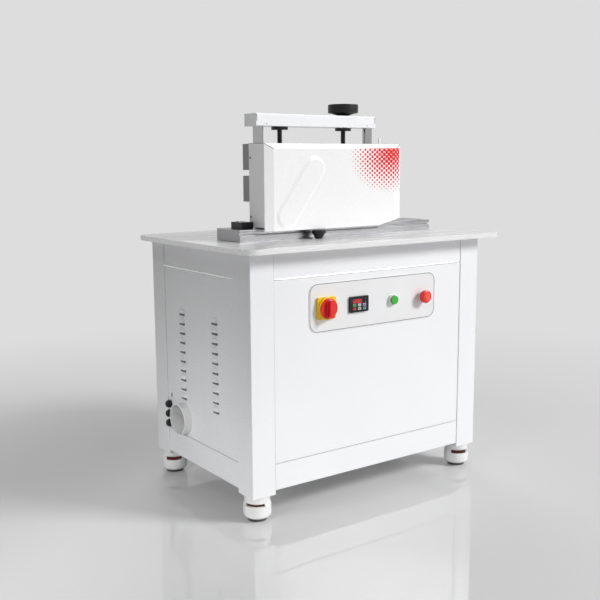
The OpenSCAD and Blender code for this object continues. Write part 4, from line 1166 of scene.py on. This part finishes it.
@dataclass
class FootWindows:
    """The front windows of the feet that have their corner window on another side."""

    xs: tuple[float, float] = (-418.0, 394.0)
    ys: tuple[float, float] = (-250.0, 266.0)
    z: tuple[float, float] = (46.0, 57.0)
    radius: float = 41.0
    sweep: float = 74.0
    facing: float = 238.0
    depth: float = 0.8
    proud: float = 0.12

    def build(self) -> None:
        """Makes one curved window for each foot but the front left one."""
        r, half = self.radius, self.sweep / 2
        low, high = self.z
        inner, outer = r - self.depth, r + self.proud
        profile = [(inner, low), (outer, low), (outer, high), (inner, high), (inner, low)]
        windows = []
        for x in self.xs:
            for y in self.ys:
                if x < 0 and y < 0:
                    continue
                pane = Bench.turned("foot_window", profile, 14, self.sweep)
                windows.append(Bench.place(pane, (x, y, 0.0), Axis.UP, math.radians(self.facing + half)))
        panes = Bench.joined("foot_windows", windows)
        Bench.done(Bench.refine(panes, 0.0), "cabinet", "ring_plastic", "black_plastic")


@dataclass
class ControlPanel:
    """What stands on the control plate: its border, the switch's screws, the display and the stop cap."""

    plate: tuple[float, float, float, float] = (-8.0, 607.0, 498.0, 147.0)
    plate_r: float = 30.0
    plate_y: float = -289.5
    control_z: float = 606.0
    switch_x: float = -198.0
    switch_out: float = 8.1
    switch_reach: float = 29.2
    meter_x: float = -75.0
    stop_x: float = 184.0
    line: float = 1.5
    window: tuple[float, float, float, float] = (-83.0, 615.0, 46.0, 16.0)
    window_y: float = -294.7
    reading: str = "1200"

    def border(self) -> None:
        """Draws a thin dark line just inside the plate's edge."""
        x, z, wide, high = self.plate
        bpy.ops.mesh.primitive_plane_add(size=1.0, location=(0, 0, 0))
        piece = bpy.context.view_layer.objects.active
        piece.name = "plate_border"
        piece.scale = ((wide - 5) * MM, (high - 5) * MM, 1.0)
        Bench.settle(piece)
        with Bench.editing(piece):
            bpy.ops.mesh.bevel(offset=(self.plate_r - 2.5) * MM, segments=10, affect="VERTICES")
            bpy.ops.mesh.select_mode(type="FACE")
            bpy.ops.mesh.select_all(action="SELECT")
            bpy.ops.mesh.inset(thickness=self.line * MM)
            bpy.ops.mesh.delete(type="FACE")
            bpy.ops.mesh.select_all(action="SELECT")
            bpy.ops.mesh.extrude_region_move(TRANSFORM_OT_translate={"value": (0, 0, 0.25 * MM)})
            Bench.outward()
        Bench.place(piece, (x, self.plate_y, z), Axis.FRONT)
        Bench.refine(piece, 0.0)
        Bench.done(piece, "cabinet", "plate_edge_line", "plate_grey")

    def switch_screws(self) -> None:
        """Adds the four screws of the yellow base."""
        y, reach = self.plate_y - self.switch_out, self.switch_reach
        spots = [(self.switch_x + sx * reach, y, self.control_z + sz * reach)
                 for sx in (-1, 1) for sz in (-1, 1)]
        screws = Bench.repeated("switch_screws", Hardware.pan_screw(1.9, 0.6), spots, Axis.FRONT)
        Bench.done(screws, "cabinet", "steel")

    def digit(self, figure: str, x: float, z: float) -> list[Piece]:
        """Makes the lit bars of one figure.

        Args:
            figure: the figure shown.
            x: its middle across.
            z: its middle up.

        Returns:
            The bars.
        """
        bars = {"a": (0, 1, 1), "g": (0, 0, 1), "d": (0, -1, 1), "f": (-1, 0.5, 0), "b": (1, 0.5, 0),
                "e": (-1, -0.5, 0), "c": (1, -0.5, 0)}
        lit = {"0": "abcdef", "1": "bc", "2": "abged", "3": "abgcd", "4": "fgbc", "5": "afgcd", "6": "afgedc",
               "7": "abc", "8": "abcdefg", "9": "abcdfg"}[figure]
        half, tall, stroke = 2.9, 4.6, 0.62
        pieces = []
        for name in lit:
            side, level, across = bars[name]
            mid = (x + side * half, z + level * tall)
            size = (half - 0.25, stroke) if across else (stroke, tall / 2 - 0.25)
            pieces.append(Bench.slab("bar", (mid[0] - size[0], self.window_y - 0.42, mid[1] - size[1]),
                                     (mid[0] + size[0], self.window_y - 0.22, mid[1] + size[1])))
        return pieces

    def display(self) -> None:
        """Makes the display's dark pane, its figures and its status dots."""
        x, z, wide, high = self.window
        pane = Bench.slab("display_pane", (x - wide / 2, self.window_y - 0.2, z - high / 2),
                          (x + wide / 2, self.window_y - 0.02, z + high / 2))
        Bench.done(Bench.refine(pane, 0.06), "cabinet", "display_glass", "black_plastic")
        bars = []
        for k, figure in enumerate(self.reading):
            bars += self.digit(figure, x - wide / 2 + 6.5 + k * 9.4, z)
        figures = Bench.joined("display_figures", bars)
        Bench.done(Bench.refine(figures, 0.05), "cabinet", "display_red", "red_plastic")
        spots = [(self.meter_x + 24.0, self.plate_y - 6.2, self.control_z + 15.0 - 5.0 * k) for k in range(3)]
        dots = Bench.repeated("status_dots", Hardware.pan_screw(1.2, 0.4), spots, Axis.FRONT)
        Bench.done(dots, "cabinet", "housing_grey")
        for k in range(6):
            low, high = (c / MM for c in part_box(f"meter_key_{k + 1}"))
            mid = (low + high) / 2
            mark = Bench.rod(f"key_mark_{k + 1}", 2.6, 0.25, 3 if k % 3 == 1 else 4)
            Bench.place(mark, (mid.x, low.y + 0.05, mid.z), Axis.FRONT, math.pi / 2 * (1 if k < 3 else -1))
            Bench.done(Bench.refine(mark, 0.05), f"key_{k + 1}", "dark_print_and_shade", "black_plastic")

    def stop_cap(self) -> None:
        """Turns the stop button's cap with its rolled rim and its flat middle."""
        r, t = 20.5, 12.0
        profile = [(4.1, 0.0), (12.0, 0.0), (17.4, 0.2), (19.6, t * 0.08), (20.4, t * 0.2), (r, t * 0.4),
                   (r, t * 0.86), (20.1, t * 1.02), (18.9, t * 1.15), (16.0, t * 1.26), (12.6, t * 1.31),
                   (11.9, t * 1.28), (11.2, t * 1.34), (6.0, t * 1.385), (0.0, t * 1.4), (0.0, t + 0.5),
                   (4.1, t + 0.5), (4.1, 0.0)]
        piece = Bench.turned("stop_cap", profile, 64)
        Bench.place(piece, (self.stop_x, self.plate_y - 11.2, self.control_z), Axis.FRONT)
        Bench.refine(piece, 0.0, 2, 40.0)
        Bench.done(piece, "stop_button", "stop_red", "red_plastic", ("stop_mushroom",))

    def build(self) -> None:
        """Makes everything on the control plate."""
        self.border()
        self.switch_screws()
        self.display()
        self.stop_cap()


class Hardware:
    """Small fasteners, each made once at the origin with its seat on z = 0."""

    @staticmethod
    def sunk(name: str, radius: float, high: float, inset: float, depth: float) -> Piece:
        """Makes a round head with a sunk middle.

        Args:
            name: the piece's name.
            radius: its radius in millimetres.
            high: its height in millimetres.
            inset: the width of its rim, as a share of the radius.
            depth: the depth of its middle, as a share of the height.

        Returns:
            The head, with sharp edges.
        """
        piece = Bench.rod(name, radius, high, 24)
        with Bench.editing(piece):
            Bench.pick(piece, Kind.FACES, lambda middle, way: way.z > 0.9)
            bpy.ops.mesh.inset(thickness=radius * inset * MM)
            bpy.ops.mesh.extrude_region_move(TRANSFORM_OT_translate={"value": (0, 0, -high * depth * MM)})
        return piece

    @staticmethod
    def pan_screw(radius: float, high: float) -> Piece:
        """Returns a low round head."""
        return Bench.refine(Hardware.sunk("pan_screw", radius, high, 0.45, 0.5), high * 0.25, 2)

    @staticmethod
    def socket_head(radius: float, high: float) -> Piece:
        """Returns a cylinder head with a socket."""
        return Bench.refine(Hardware.sunk("socket_head", radius, high, 0.42, 0.6), radius * 0.1, 2)


@dataclass
class HeadCover:
    """The white cover with its red print, and the screws in its side walls."""

    x0: float = -314.0
    x1: float = 214.0
    screw_y: float = -74.6
    screw_zs: tuple[float, float] = (1040.9, 865.9)
    top: float = 1082.5
    rear_y: float = -66.0
    edge_y: float = -147.7
    front_y: float = -155.7
    bevel: float = 29.0
    fall: float = 16.0
    # The next two set the dark bars that paint the shade along the cover's top edges and bevel creases.
    seam: float = 0.75
    shade_line_sunk: float = 0.3

    def build(self) -> None:
        """Rounds the cover, prints it, adds its screws and paints dark shade lines along its edges and creases."""
        cover = Bench.refine(Bench.copied("head_cover"), 0.9, 3, 40.0, 9.0)
        Bench.done(cover, "head", "cover_print", "white_paint", ("head_cover",))
        for name, x, axis in (("cover_screws_left", self.x0, Axis.LEFT), ("cover_screws_right", self.x1, Axis.RIGHT)):
            spots = [(x, self.screw_y, z) for z in self.screw_zs]
            screws = Bench.repeated(name, Hardware.socket_head(3.0, 1.4), spots, axis)
            Bench.done(screws, "head", "black_oxide")
        # Dark bars along the top edges of the side walls and down the bevel creases: painted shade.
        seams, r, sunk = [], self.seam, self.shade_line_sunk
        for x, sign in ((self.x0, 1), (self.x1, -1)):
            rear = (x + sign * sunk, self.rear_y, self.top - sunk)
            edge = (x + sign * sunk, self.edge_y, self.top - sunk)
            mitre = (x + sign * self.bevel, self.front_y - 0.1, self.top - self.fall)
            seams += [Bench.bar("seam", rear, edge, r, 8), Bench.bar("seam", edge, mitre, r, 8)]
        creases = Bench.joined("cover_painted_shade_lines", seams)
        Bench.done(Bench.refine(creases, 0.0), "head", "painted_shade_grey", "black_plastic")


@dataclass
class LiftFrame:
    """The beam with its end caps, the threaded lift screws and the handwheel."""

    beam_x: tuple[float, float] = (-282.0, 182.0)
    beam_y: tuple[float, float] = (-60.0, 7.0)
    beam_z: tuple[float, float] = (1135.0, 1173.0)
    column_xs: tuple[float, float] = (-263.5, 163.5)
    screw_xs: tuple[float, float] = (-174.5, 74.5)
    screw_y: float = -25.0
    screw_z: tuple[float, float] = (1016.5, 1135.0)
    screw_r: float = 8.0
    thread_pitch: float = 4.0
    set_screws: tuple[float, float, float] = (-245.1, 146.8, 1142.0)
    wheel_z: float = 1173.2
    # Width of the dark slab that paints the shade of a notch.
    notch: float = 2.2

    def beam(self) -> None:
        """Rounds the beam, and paints the shade of a notch near each end with a dark slab."""
        piece = Bench.copied("top_beam")

        def long_edge(middle: Vector, way: Vector) -> bool:
            """Tells whether an edge runs along the beam's outer corners."""
            return (abs(way.x) > 0.99 and min(abs(middle.y - y) for y in self.beam_y) < 0.05
                    and min(abs(middle.z - z) for z in self.beam_z) < 0.05)

        Bench.eased(piece, long_edge, 3.0, 4)
        Bench.refine(piece, 0.5, 2, 38.0)
        Bench.done(piece, "cabinet", "white_paint", stands_for=("top_beam",))
        # A dark slab near each end of the front paints the shade of a notch.
        low, high = self.beam_z
        half, front = self.notch / 2, self.beam_y[0]
        for name, x in (("beam_notch_shade_left", self.beam_x[0] + self.notch),
                        ("beam_notch_shade_right", self.beam_x[1] - self.notch)):
            notch = Bench.slab(name, (x - half, front - 0.12, low + 15), (x + half, front + 2.2, high - 2.4))
            Bench.done(Bench.refine(notch, 0.1), "cabinet", "dark_print_and_shade", "black_plastic")
        first, second, z = self.set_screws
        spots = [(first, self.beam_y[0] + 0.1, z), (second, self.beam_y[0] + 0.1, z)]
        front = Bench.repeated("beam_screws_front", Hardware.pan_screw(2.6, 0.5), spots, Axis.FRONT)
        Bench.done(front, "cabinet", "steel")
        spots = [(x, self.beam_y[1] - 0.1, z) for x in self.column_xs]
        back = Bench.repeated("beam_screws_back", Hardware.socket_head(4.2, 2.4), spots, Axis.BACK)
        Bench.done(back, "cabinet", "black_oxide")

    def thread(self, name: str, x: float, body: str, node: str) -> None:
        """Cuts a lift screw's thread.

        Args:
            name: the piece's name.
            x: the screw's place.
            body: the body that it rides on.
            node: the node that it replaces.
        """
        low, high = self.screw_z
        p, r = self.thread_pitch, self.screw_r
        root = r - 1.4
        piece = Bench.traced(name, [(root, 0), (r, p * 0.2), (r, p * 0.5), (root, p * 0.7), (root, p)])
        screw = piece.modifiers.new("thread", "SCREW")
        screw.angle = 2 * math.pi
        screw.screw_offset = p * MM
        screw.iterations = int((high - low) / p)
        screw.steps = 20
        screw.render_steps = 20
        screw.use_merge_vertices = True
        screw.merge_threshold = 0.00001
        Bench.hold(piece)
        bpy.ops.object.modifier_apply(modifier="thread")
        with Bench.editing(piece):
            bpy.ops.mesh.remove_doubles(threshold=0.00001)
            Bench.outward()
        Bench.place(piece, (x, self.screw_y, low), Axis.UP)
        Bench.refine(piece, 0.0, 2, 30.0)
        Bench.done(piece, body, "black_oxide", stands_for=(node,))
        core = Bench.rod(name + "_core", r - 1.2, high - low + 2, 24)
        Bench.place(core, (x, self.screw_y, low - 0.6), Axis.UP)
        Bench.done(Bench.refine(core, 0.5), body, "black_oxide")

    def handwheel(self) -> None:
        """Turns the handwheel: a cone under a rounded rim, a sunk top with a cap, and grip flutes."""
        profile = [(0.0, 0.0), (12.0, 0.0), (13.6, 1.0), (40.0, 8.6), (46.0, 9.2), (48.2, 10.0), (49.0, 11.6),
                   (49.0, 34.0), (48.5, 35.8), (47.2, 36.6), (45.0, 36.8), (38.0, 37.0), (34.0, 36.6),
                   (32.0, 35.6), (14.0, 35.4), (13.0, 35.7), (12.2, 36.5), (6.0, 37.0), (0.0, 37.0)]
        wheel = Bench.turned("handwheel_rim", profile, 96)
        Bench.fluted(wheel, 96, 1, 48.5, (12.0, 34.0), 0.99)
        Bench.place(wheel, (self.screw_xs[1], self.screw_y, self.wheel_z), Axis.UP)
        Bench.refine(wheel, 0.0, 2, 36.0)
        Bench.done(wheel, "lift_screw_right", "wheel_plastic", stands_for=("handwheel",))

    def build(self) -> None:
        """Makes the beam, the screws and the handwheel."""
        self.beam()
        self.thread("lift_thread_left", self.screw_xs[0], "lift_screw_left", "left_screw")
        self.thread("lift_thread_right", self.screw_xs[1], "lift_screw_right", "right_screw")
        self.handwheel()


@dataclass
class EdgeGuide:
    """The black guide block on the infeed rail, with its slot and its two screws."""

    x: tuple[float, float] = (-358.0, -317.0)
    y: tuple[float, float] = (-90.0, -30.2)
    z: tuple[float, float] = (831.2, 851.0)

    def build(self) -> None:
        """Makes the block, cuts its slot and adds its screws."""
        piece = Bench.slab("edge_guide", (self.x[0], self.y[0], self.z[0]), (self.x[1], self.y[1], self.z[1]))
        with Bench.editing(piece):
            for at in (self.x[1] - 13.0, self.x[1] - 8.0):
                bpy.ops.mesh.select_all(action="SELECT")
                bpy.ops.mesh.bisect(plane_co=(at * MM, 0, 0), plane_no=(1, 0, 0))
            Bench.pick(piece, Kind.FACES,
                       lambda middle, way: way.z > 0.9 and self.x[1] - 13 < middle.x < self.x[1] - 8)
            bpy.ops.mesh.extrude_region_move(TRANSFORM_OT_translate={"value": (0, 0, -5.0 * MM)})
            bpy.ops.mesh.select_all(action="SELECT")
            bpy.ops.mesh.remove_doubles(threshold=0.000004)
        Bench.refine(piece, 0.9, 3)
        Bench.done(piece, "infeed_table", "black_oxide", "black_plastic", ("edge_block",))
        spots = [(self.x[0] + 13.0, y, self.z[1] - 0.2) for y in (self.y[0] + 14, self.y[1] - 14)]
        screws = Bench.repeated("edge_guide_screws", Hardware.socket_head(4.2, 2.2), spots, Axis.UP)
        Bench.done(screws, "infeed_table", "steel")


@dataclass
class RailKnob:
    """The knob in front of the infeed rail, a fluted disc on a cone, with its shaft."""

    at: Point = (-123.0, -157.0, 796.2)
    radius: float = 22.0
    high: float = 25.6
    rods: dict[str, tuple[float, float, float, int]] = field(default_factory=lambda: {
        "rail_knob_shaft": (6.0, 79.0, 717.0, 32), "rail_knob_collar": (12.0, 6.0, 774.8, 48)})

    def build(self) -> None:
        """Turns the knob and flutes its rim."""
        r, top = self.radius, self.high
        profile = [(6.0, 0.0), (10.6, 0.0), (11.2, 0.6), (18.6, 15.6), (21.4, 16.2), (r, 17.0), (r, top - 0.8),
                   (21.5, top - 0.2), (20.4, top), (12.0, top - 0.4), (8.0, top - 1.0), (0.0, top - 1.1), (0.0, 1.0),
                   (6.0, 1.0), (6.0, 0.0)]
        knob = Bench.turned("rail_knob_grip", profile, 72)
        Bench.fluted(knob, 72, 1, r - 0.6, (16.0, math.inf), 0.98)
        Bench.place(knob, self.at, Axis.UP)
        Bench.refine(knob, 0.0, 2, 36.0)
        Bench.done(knob, "rail_adjuster", "wheel_plastic", stands_for=("rail_knob",))
        for name, (radius, length, low, sides) in self.rods.items():
            rod = Bench.place(Bench.rod(name, radius, length, sides), (self.at[0], self.at[1], low), Axis.UP)
            Bench.done(Bench.refine(rod, 0.6), "rail_adjuster", "steel")


@dataclass
class FeedDrive:
    """The details at the back of the head: block screws, motor ribs, fan cover and terminal box."""

    column_xs: tuple[float, float] = (-263.5, 163.5)
    block_zs: tuple[float, float] = (948.5, 1043.5)
    block_back: float = -14.5
    motor_y: float = -32.5
    motor_z: float = 870.4
    motor_x: tuple[float, float] = (-53.0, 67.0)
    motor_r: float = 31.0
    gear_x: tuple[float, float] = (67.0, 137.0)

    def build(self) -> None:
        """Makes the screws, the ribs, the fan cover and the terminal box."""
        spots = [(x + sx * 30, self.block_back, z + sz * 28)
                 for x in self.column_xs for z in self.block_zs for sx in (-1, 1) for sz in (-1, 1)]
        screws = Bench.repeated("block_screws", Hardware.socket_head(4.4, 4.0), spots, Axis.BACK)
        Bench.done(screws, "head", "black_oxide")
        r = self.motor_r
        foot, tip = r - 0.6, r + 2.2
        rib = Bench.turned("motor_rib", [(foot, 0), (tip, 0.3), (tip, 1.9), (foot, 2.2), (foot, 0)], 64)
        ribs = Bench.repeated("motor_ribs", Bench.refine(rib, 0.0), [
            (self.motor_x[0] + 34 + k * 7.0, self.motor_y, self.motor_z) for k in range(10)], Axis.RIGHT)
        Bench.done(ribs, "head", "housing_grey")
        cowl = Bench.turned("fan_cover", [(0.0, 30.0), (11.0, 30.0), (11.0, 28.4), (13.0, 28.4), (13.0, 30.0),
                                          (18.0, 30.0), (18.0, 28.4), (20.0, 28.4), (20.0, 30.0), (27.5, 29.4),
                                          (31.6, 26.0), (32.6, 21.0), (32.6, 0.0), (r - 0.4, 0.0), (r - 0.4, 26.6),
                                          (0.0, 26.6)], 64)
        Bench.place(cowl, (self.motor_x[0] + 26.8, self.motor_y, self.motor_z), Axis.LEFT)
        Bench.refine(cowl, 0.0, 2, 40.0)
        Bench.done(cowl, "head", "black_plastic")
        y, z = self.motor_y, self.motor_z
        box = Bench.slab("terminal_box", (-6.0, y - 20, z + 28), (38.0, y + 20, z + 52))
        Bench.done(Bench.refine(box, 3.0, 4), "head", "black_plastic")
        spots = [(self.gear_x[0] + 8 + 54 * a, 0.4, self.motor_z - 25 + 50 * b)
                 for a in (0, 1) for b in (0, 1)]
        lid = Bench.repeated("gear_lid_screws", Hardware.socket_head(3.4, 2.6), spots, Axis.BACK)
        Bench.done(lid, "head", "black_oxide")


# The studio


@dataclass
class Studio:
    """The camera of the photograph, a pale floor and soft lamps."""

    place: Point = (-1.7248, -2.3095, 1.0267)
    yaw: float = 35.405
    pitch: float = 8.915
    roll: float = -0.347
    lens: float = 52.68
    backdrop: float = 0.723
    fill: float = 0.12
    floor_tone: float = 0.67
    haze: tuple[float, float] = (0.08, 1.0)
    fade: tuple[float, float] = (0.75, 2.8)
    mirror: float = 0.15
    mirror_blur: float = 0.04

    def camera(self) -> None:
        """Sets up the camera."""
        bpy.ops.object.camera_add(location=(0, 0, 0))
        camera = bpy.context.view_layer.objects.active
        camera.name = "camera"
        yaw, pitch, roll = (math.radians(a) for a in (self.yaw, self.pitch, self.roll))
        ahead = Vector((math.sin(yaw) * math.cos(pitch), math.cos(yaw) * math.cos(pitch), -math.sin(pitch)))
        side = Vector((math.cos(yaw), -math.sin(yaw), 0))
        above = side.cross(ahead)
        right = side * math.cos(roll) + above * math.sin(roll)
        up = above * math.cos(roll) - side * math.sin(roll)
        turn = Matrix((right, up, -ahead)).transposed().to_4x4()
        camera.matrix_world = Matrix.Translation(Vector(self.place)) @ turn
        camera.data.sensor_width = 36.0
        camera.data.lens = self.lens
        camera.data.clip_end = 200.0
        bpy.context.scene.camera = camera

    def floor(self) -> None:
        """Lays the floor: pale, a little glossy, and fading into the backdrop."""
        bpy.ops.mesh.primitive_plane_add(size=120.0, location=(0, 0, -0.0004))
        floor = bpy.context.view_layer.objects.active
        floor.name = "floor"
        Bench.settle(floor)
        sketch = Sketch("floor_pale")
        tree = sketch.tree
        sketch.put("Base Color", grey(self.floor_tone))
        sketch.put("Roughness", 0.5)
        sketch.put("Specular IOR Level", 0.0)
        far = tree.nodes.new("ShaderNodeVectorMath")
        far.operation = "LENGTH"
        sketch.link(sketch.place, far.inputs[0])
        share = sketch.ranged(far.outputs["Value"], *self.haze, *self.fade)
        flat = tree.nodes.new("ShaderNodeEmission")
        flat.inputs[0].default_value = (*grey(self.backdrop), 1)
        path = tree.nodes.new("ShaderNodeLightPath")
        seen = sketch.math("MAXIMUM", path.outputs["Is Camera Ray"], path.outputs["Is Glossy Ray"])
        near = sketch.blended(sketch.math("MULTIPLY", share, seen), sketch.shader.outputs[0], flat.outputs[0])
        mirror = tree.nodes.new("ShaderNodeBsdfGlossy")
        mirror.inputs["Color"].default_value = (1, 1, 1, 1)
        mirror.inputs["Roughness"].default_value = self.mirror_blur
        part = sketch.math("MULTIPLY", path.outputs["Is Camera Ray"], self.mirror)
        sketch.link(sketch.blended(part, near, mirror.outputs[0]), sketch.output.inputs["Surface"])
        floor.data.materials.append(sketch.material)

    def world(self) -> None:
        """Lights the room evenly, and shows the backdrop to the camera and in reflections."""
        world = bpy.data.worlds.new("room")
        bpy.context.scene.world = world
        world.use_nodes = True
        tree = world.node_tree
        tree.nodes.clear()
        output = tree.nodes.new("ShaderNodeOutputWorld")
        lit, shown = (tree.nodes.new("ShaderNodeBackground") for _ in range(2))
        lit.inputs["Color"].default_value = (1, 1, 1, 1)
        lit.inputs["Strength"].default_value = self.fill
        shown.inputs["Color"].default_value = (*grey(self.backdrop), 1)
        path = tree.nodes.new("ShaderNodeLightPath")
        seen = path.outputs["Is Camera Ray"]
        for ray in ("Is Glossy Ray", "Is Transmission Ray"):
            either = tree.nodes.new("ShaderNodeMath")
            either.operation = "MAXIMUM"
            tree.links.new(seen, either.inputs[0])
            tree.links.new(path.outputs[ray], either.inputs[1])
            seen = either.outputs[0]
        mix = tree.nodes.new("ShaderNodeMixShader")
        for source, target in zip((seen, lit.outputs[0], shown.outputs[0]), mix.inputs):
            tree.links.new(source, target)
        tree.links.new(mix.outputs[0], output.inputs["Surface"])

    @staticmethod
    def hang(kind: str, name: str, at: Point, aim: Point, power: float) -> Piece:
        """Hangs a lamp that the camera and reflections don't show.

        Args:
            kind: the lamp's kind.
            name: the lamp's name.
            at: its place in metres.
            aim: the point that it faces.
            power: its power in watts.

        Returns:
            The lamp.
        """
        bpy.ops.object.light_add(type=kind, location=at)
        lamp = bpy.context.view_layer.objects.active
        lamp.name = name
        lamp.data.energy = power
        lamp.visible_camera = False
        lamp.visible_glossy = False
        lamp.rotation_euler = (Vector(aim) - Vector(at)).to_track_quat("-Z", "Y").to_euler()
        return lamp

    def lamp(self, name: str, at: Point, aim: Point, size: float, power: float, gleam: bool = False) -> None:
        """Hangs a square soft lamp.

        Args:
            name: the lamp's name.
            at: its place in metres.
            aim: the point that it faces.
            size: its side in metres.
            power: its power in watts.
            gleam: whether it shows in reflections.
        """
        lamp = self.hang("AREA", name, at, aim, power)
        lamp.data.size = size
        lamp.visible_glossy = gleam

    def wash(self, name: str, at: Point, aim: Point, cone: float, power: float) -> None:
        """Hangs a soft spot that washes the lower part of a face.

        Args:
            name: the lamp's name.
            at: its place in metres.
            aim: the point that it faces.
            cone: its full angle in degrees.
            power: its power in watts.
        """
        lamp = self.hang("SPOT", name, at, aim, power).data
        lamp.spot_size = math.radians(cone)
        lamp.spot_blend = 1.0
        lamp.shadow_soft_size = 0.3

    def build(self) -> None:
        """Sets up the whole studio."""
        self.camera()
        self.floor()
        self.world()
        self.lamp("key", (5.0, -6.0, 5.2), (0.0, -0.29, 0.6), 2.6, 722.0, gleam=True)
        self.wash("left_wash", (-2.6, -0.9, 0.8), (-0.458, 0.0, -0.13), 36.0, 108.0)
        self.wash("head_wash", (-2.6, -0.9, 1.6), (-0.31, -0.11, 1.0), 13.0, 40.0)
        self.wash("front_wash", (-0.2, -3.4, 0.8), (0.0, -0.29, 0.0), 38.0, 40.0)
        self.lamp("left", (-2.2, -0.8, 3.6), (-0.458, 0.0, 0.4), 1.2, 16.0)
        self.lamp("back", (1.6, 3.2, 2.4), (0.0, 0.2, 0.5), 1.8, 50.0)
        bpy.context.scene.view_settings.view_transform = "Standard"


def main() -> None:
    """Builds the studio and every piece of the machine."""
    logging.basicConfig(level=logging.INFO, format="%(name)s: %(message)s")
    Bench.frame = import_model()
    Studio().build()
    for group in (Solids(), Casework(), Entries(), FootWindows(), ControlPanel(), HeadCover(), LiftFrame(),
                  EdgeGuide(), RailKnob(), FeedDrive()):
        group.build()
        LOG.info("%s done", type(group).__name__)


if __name__ == "__main__":
    main()
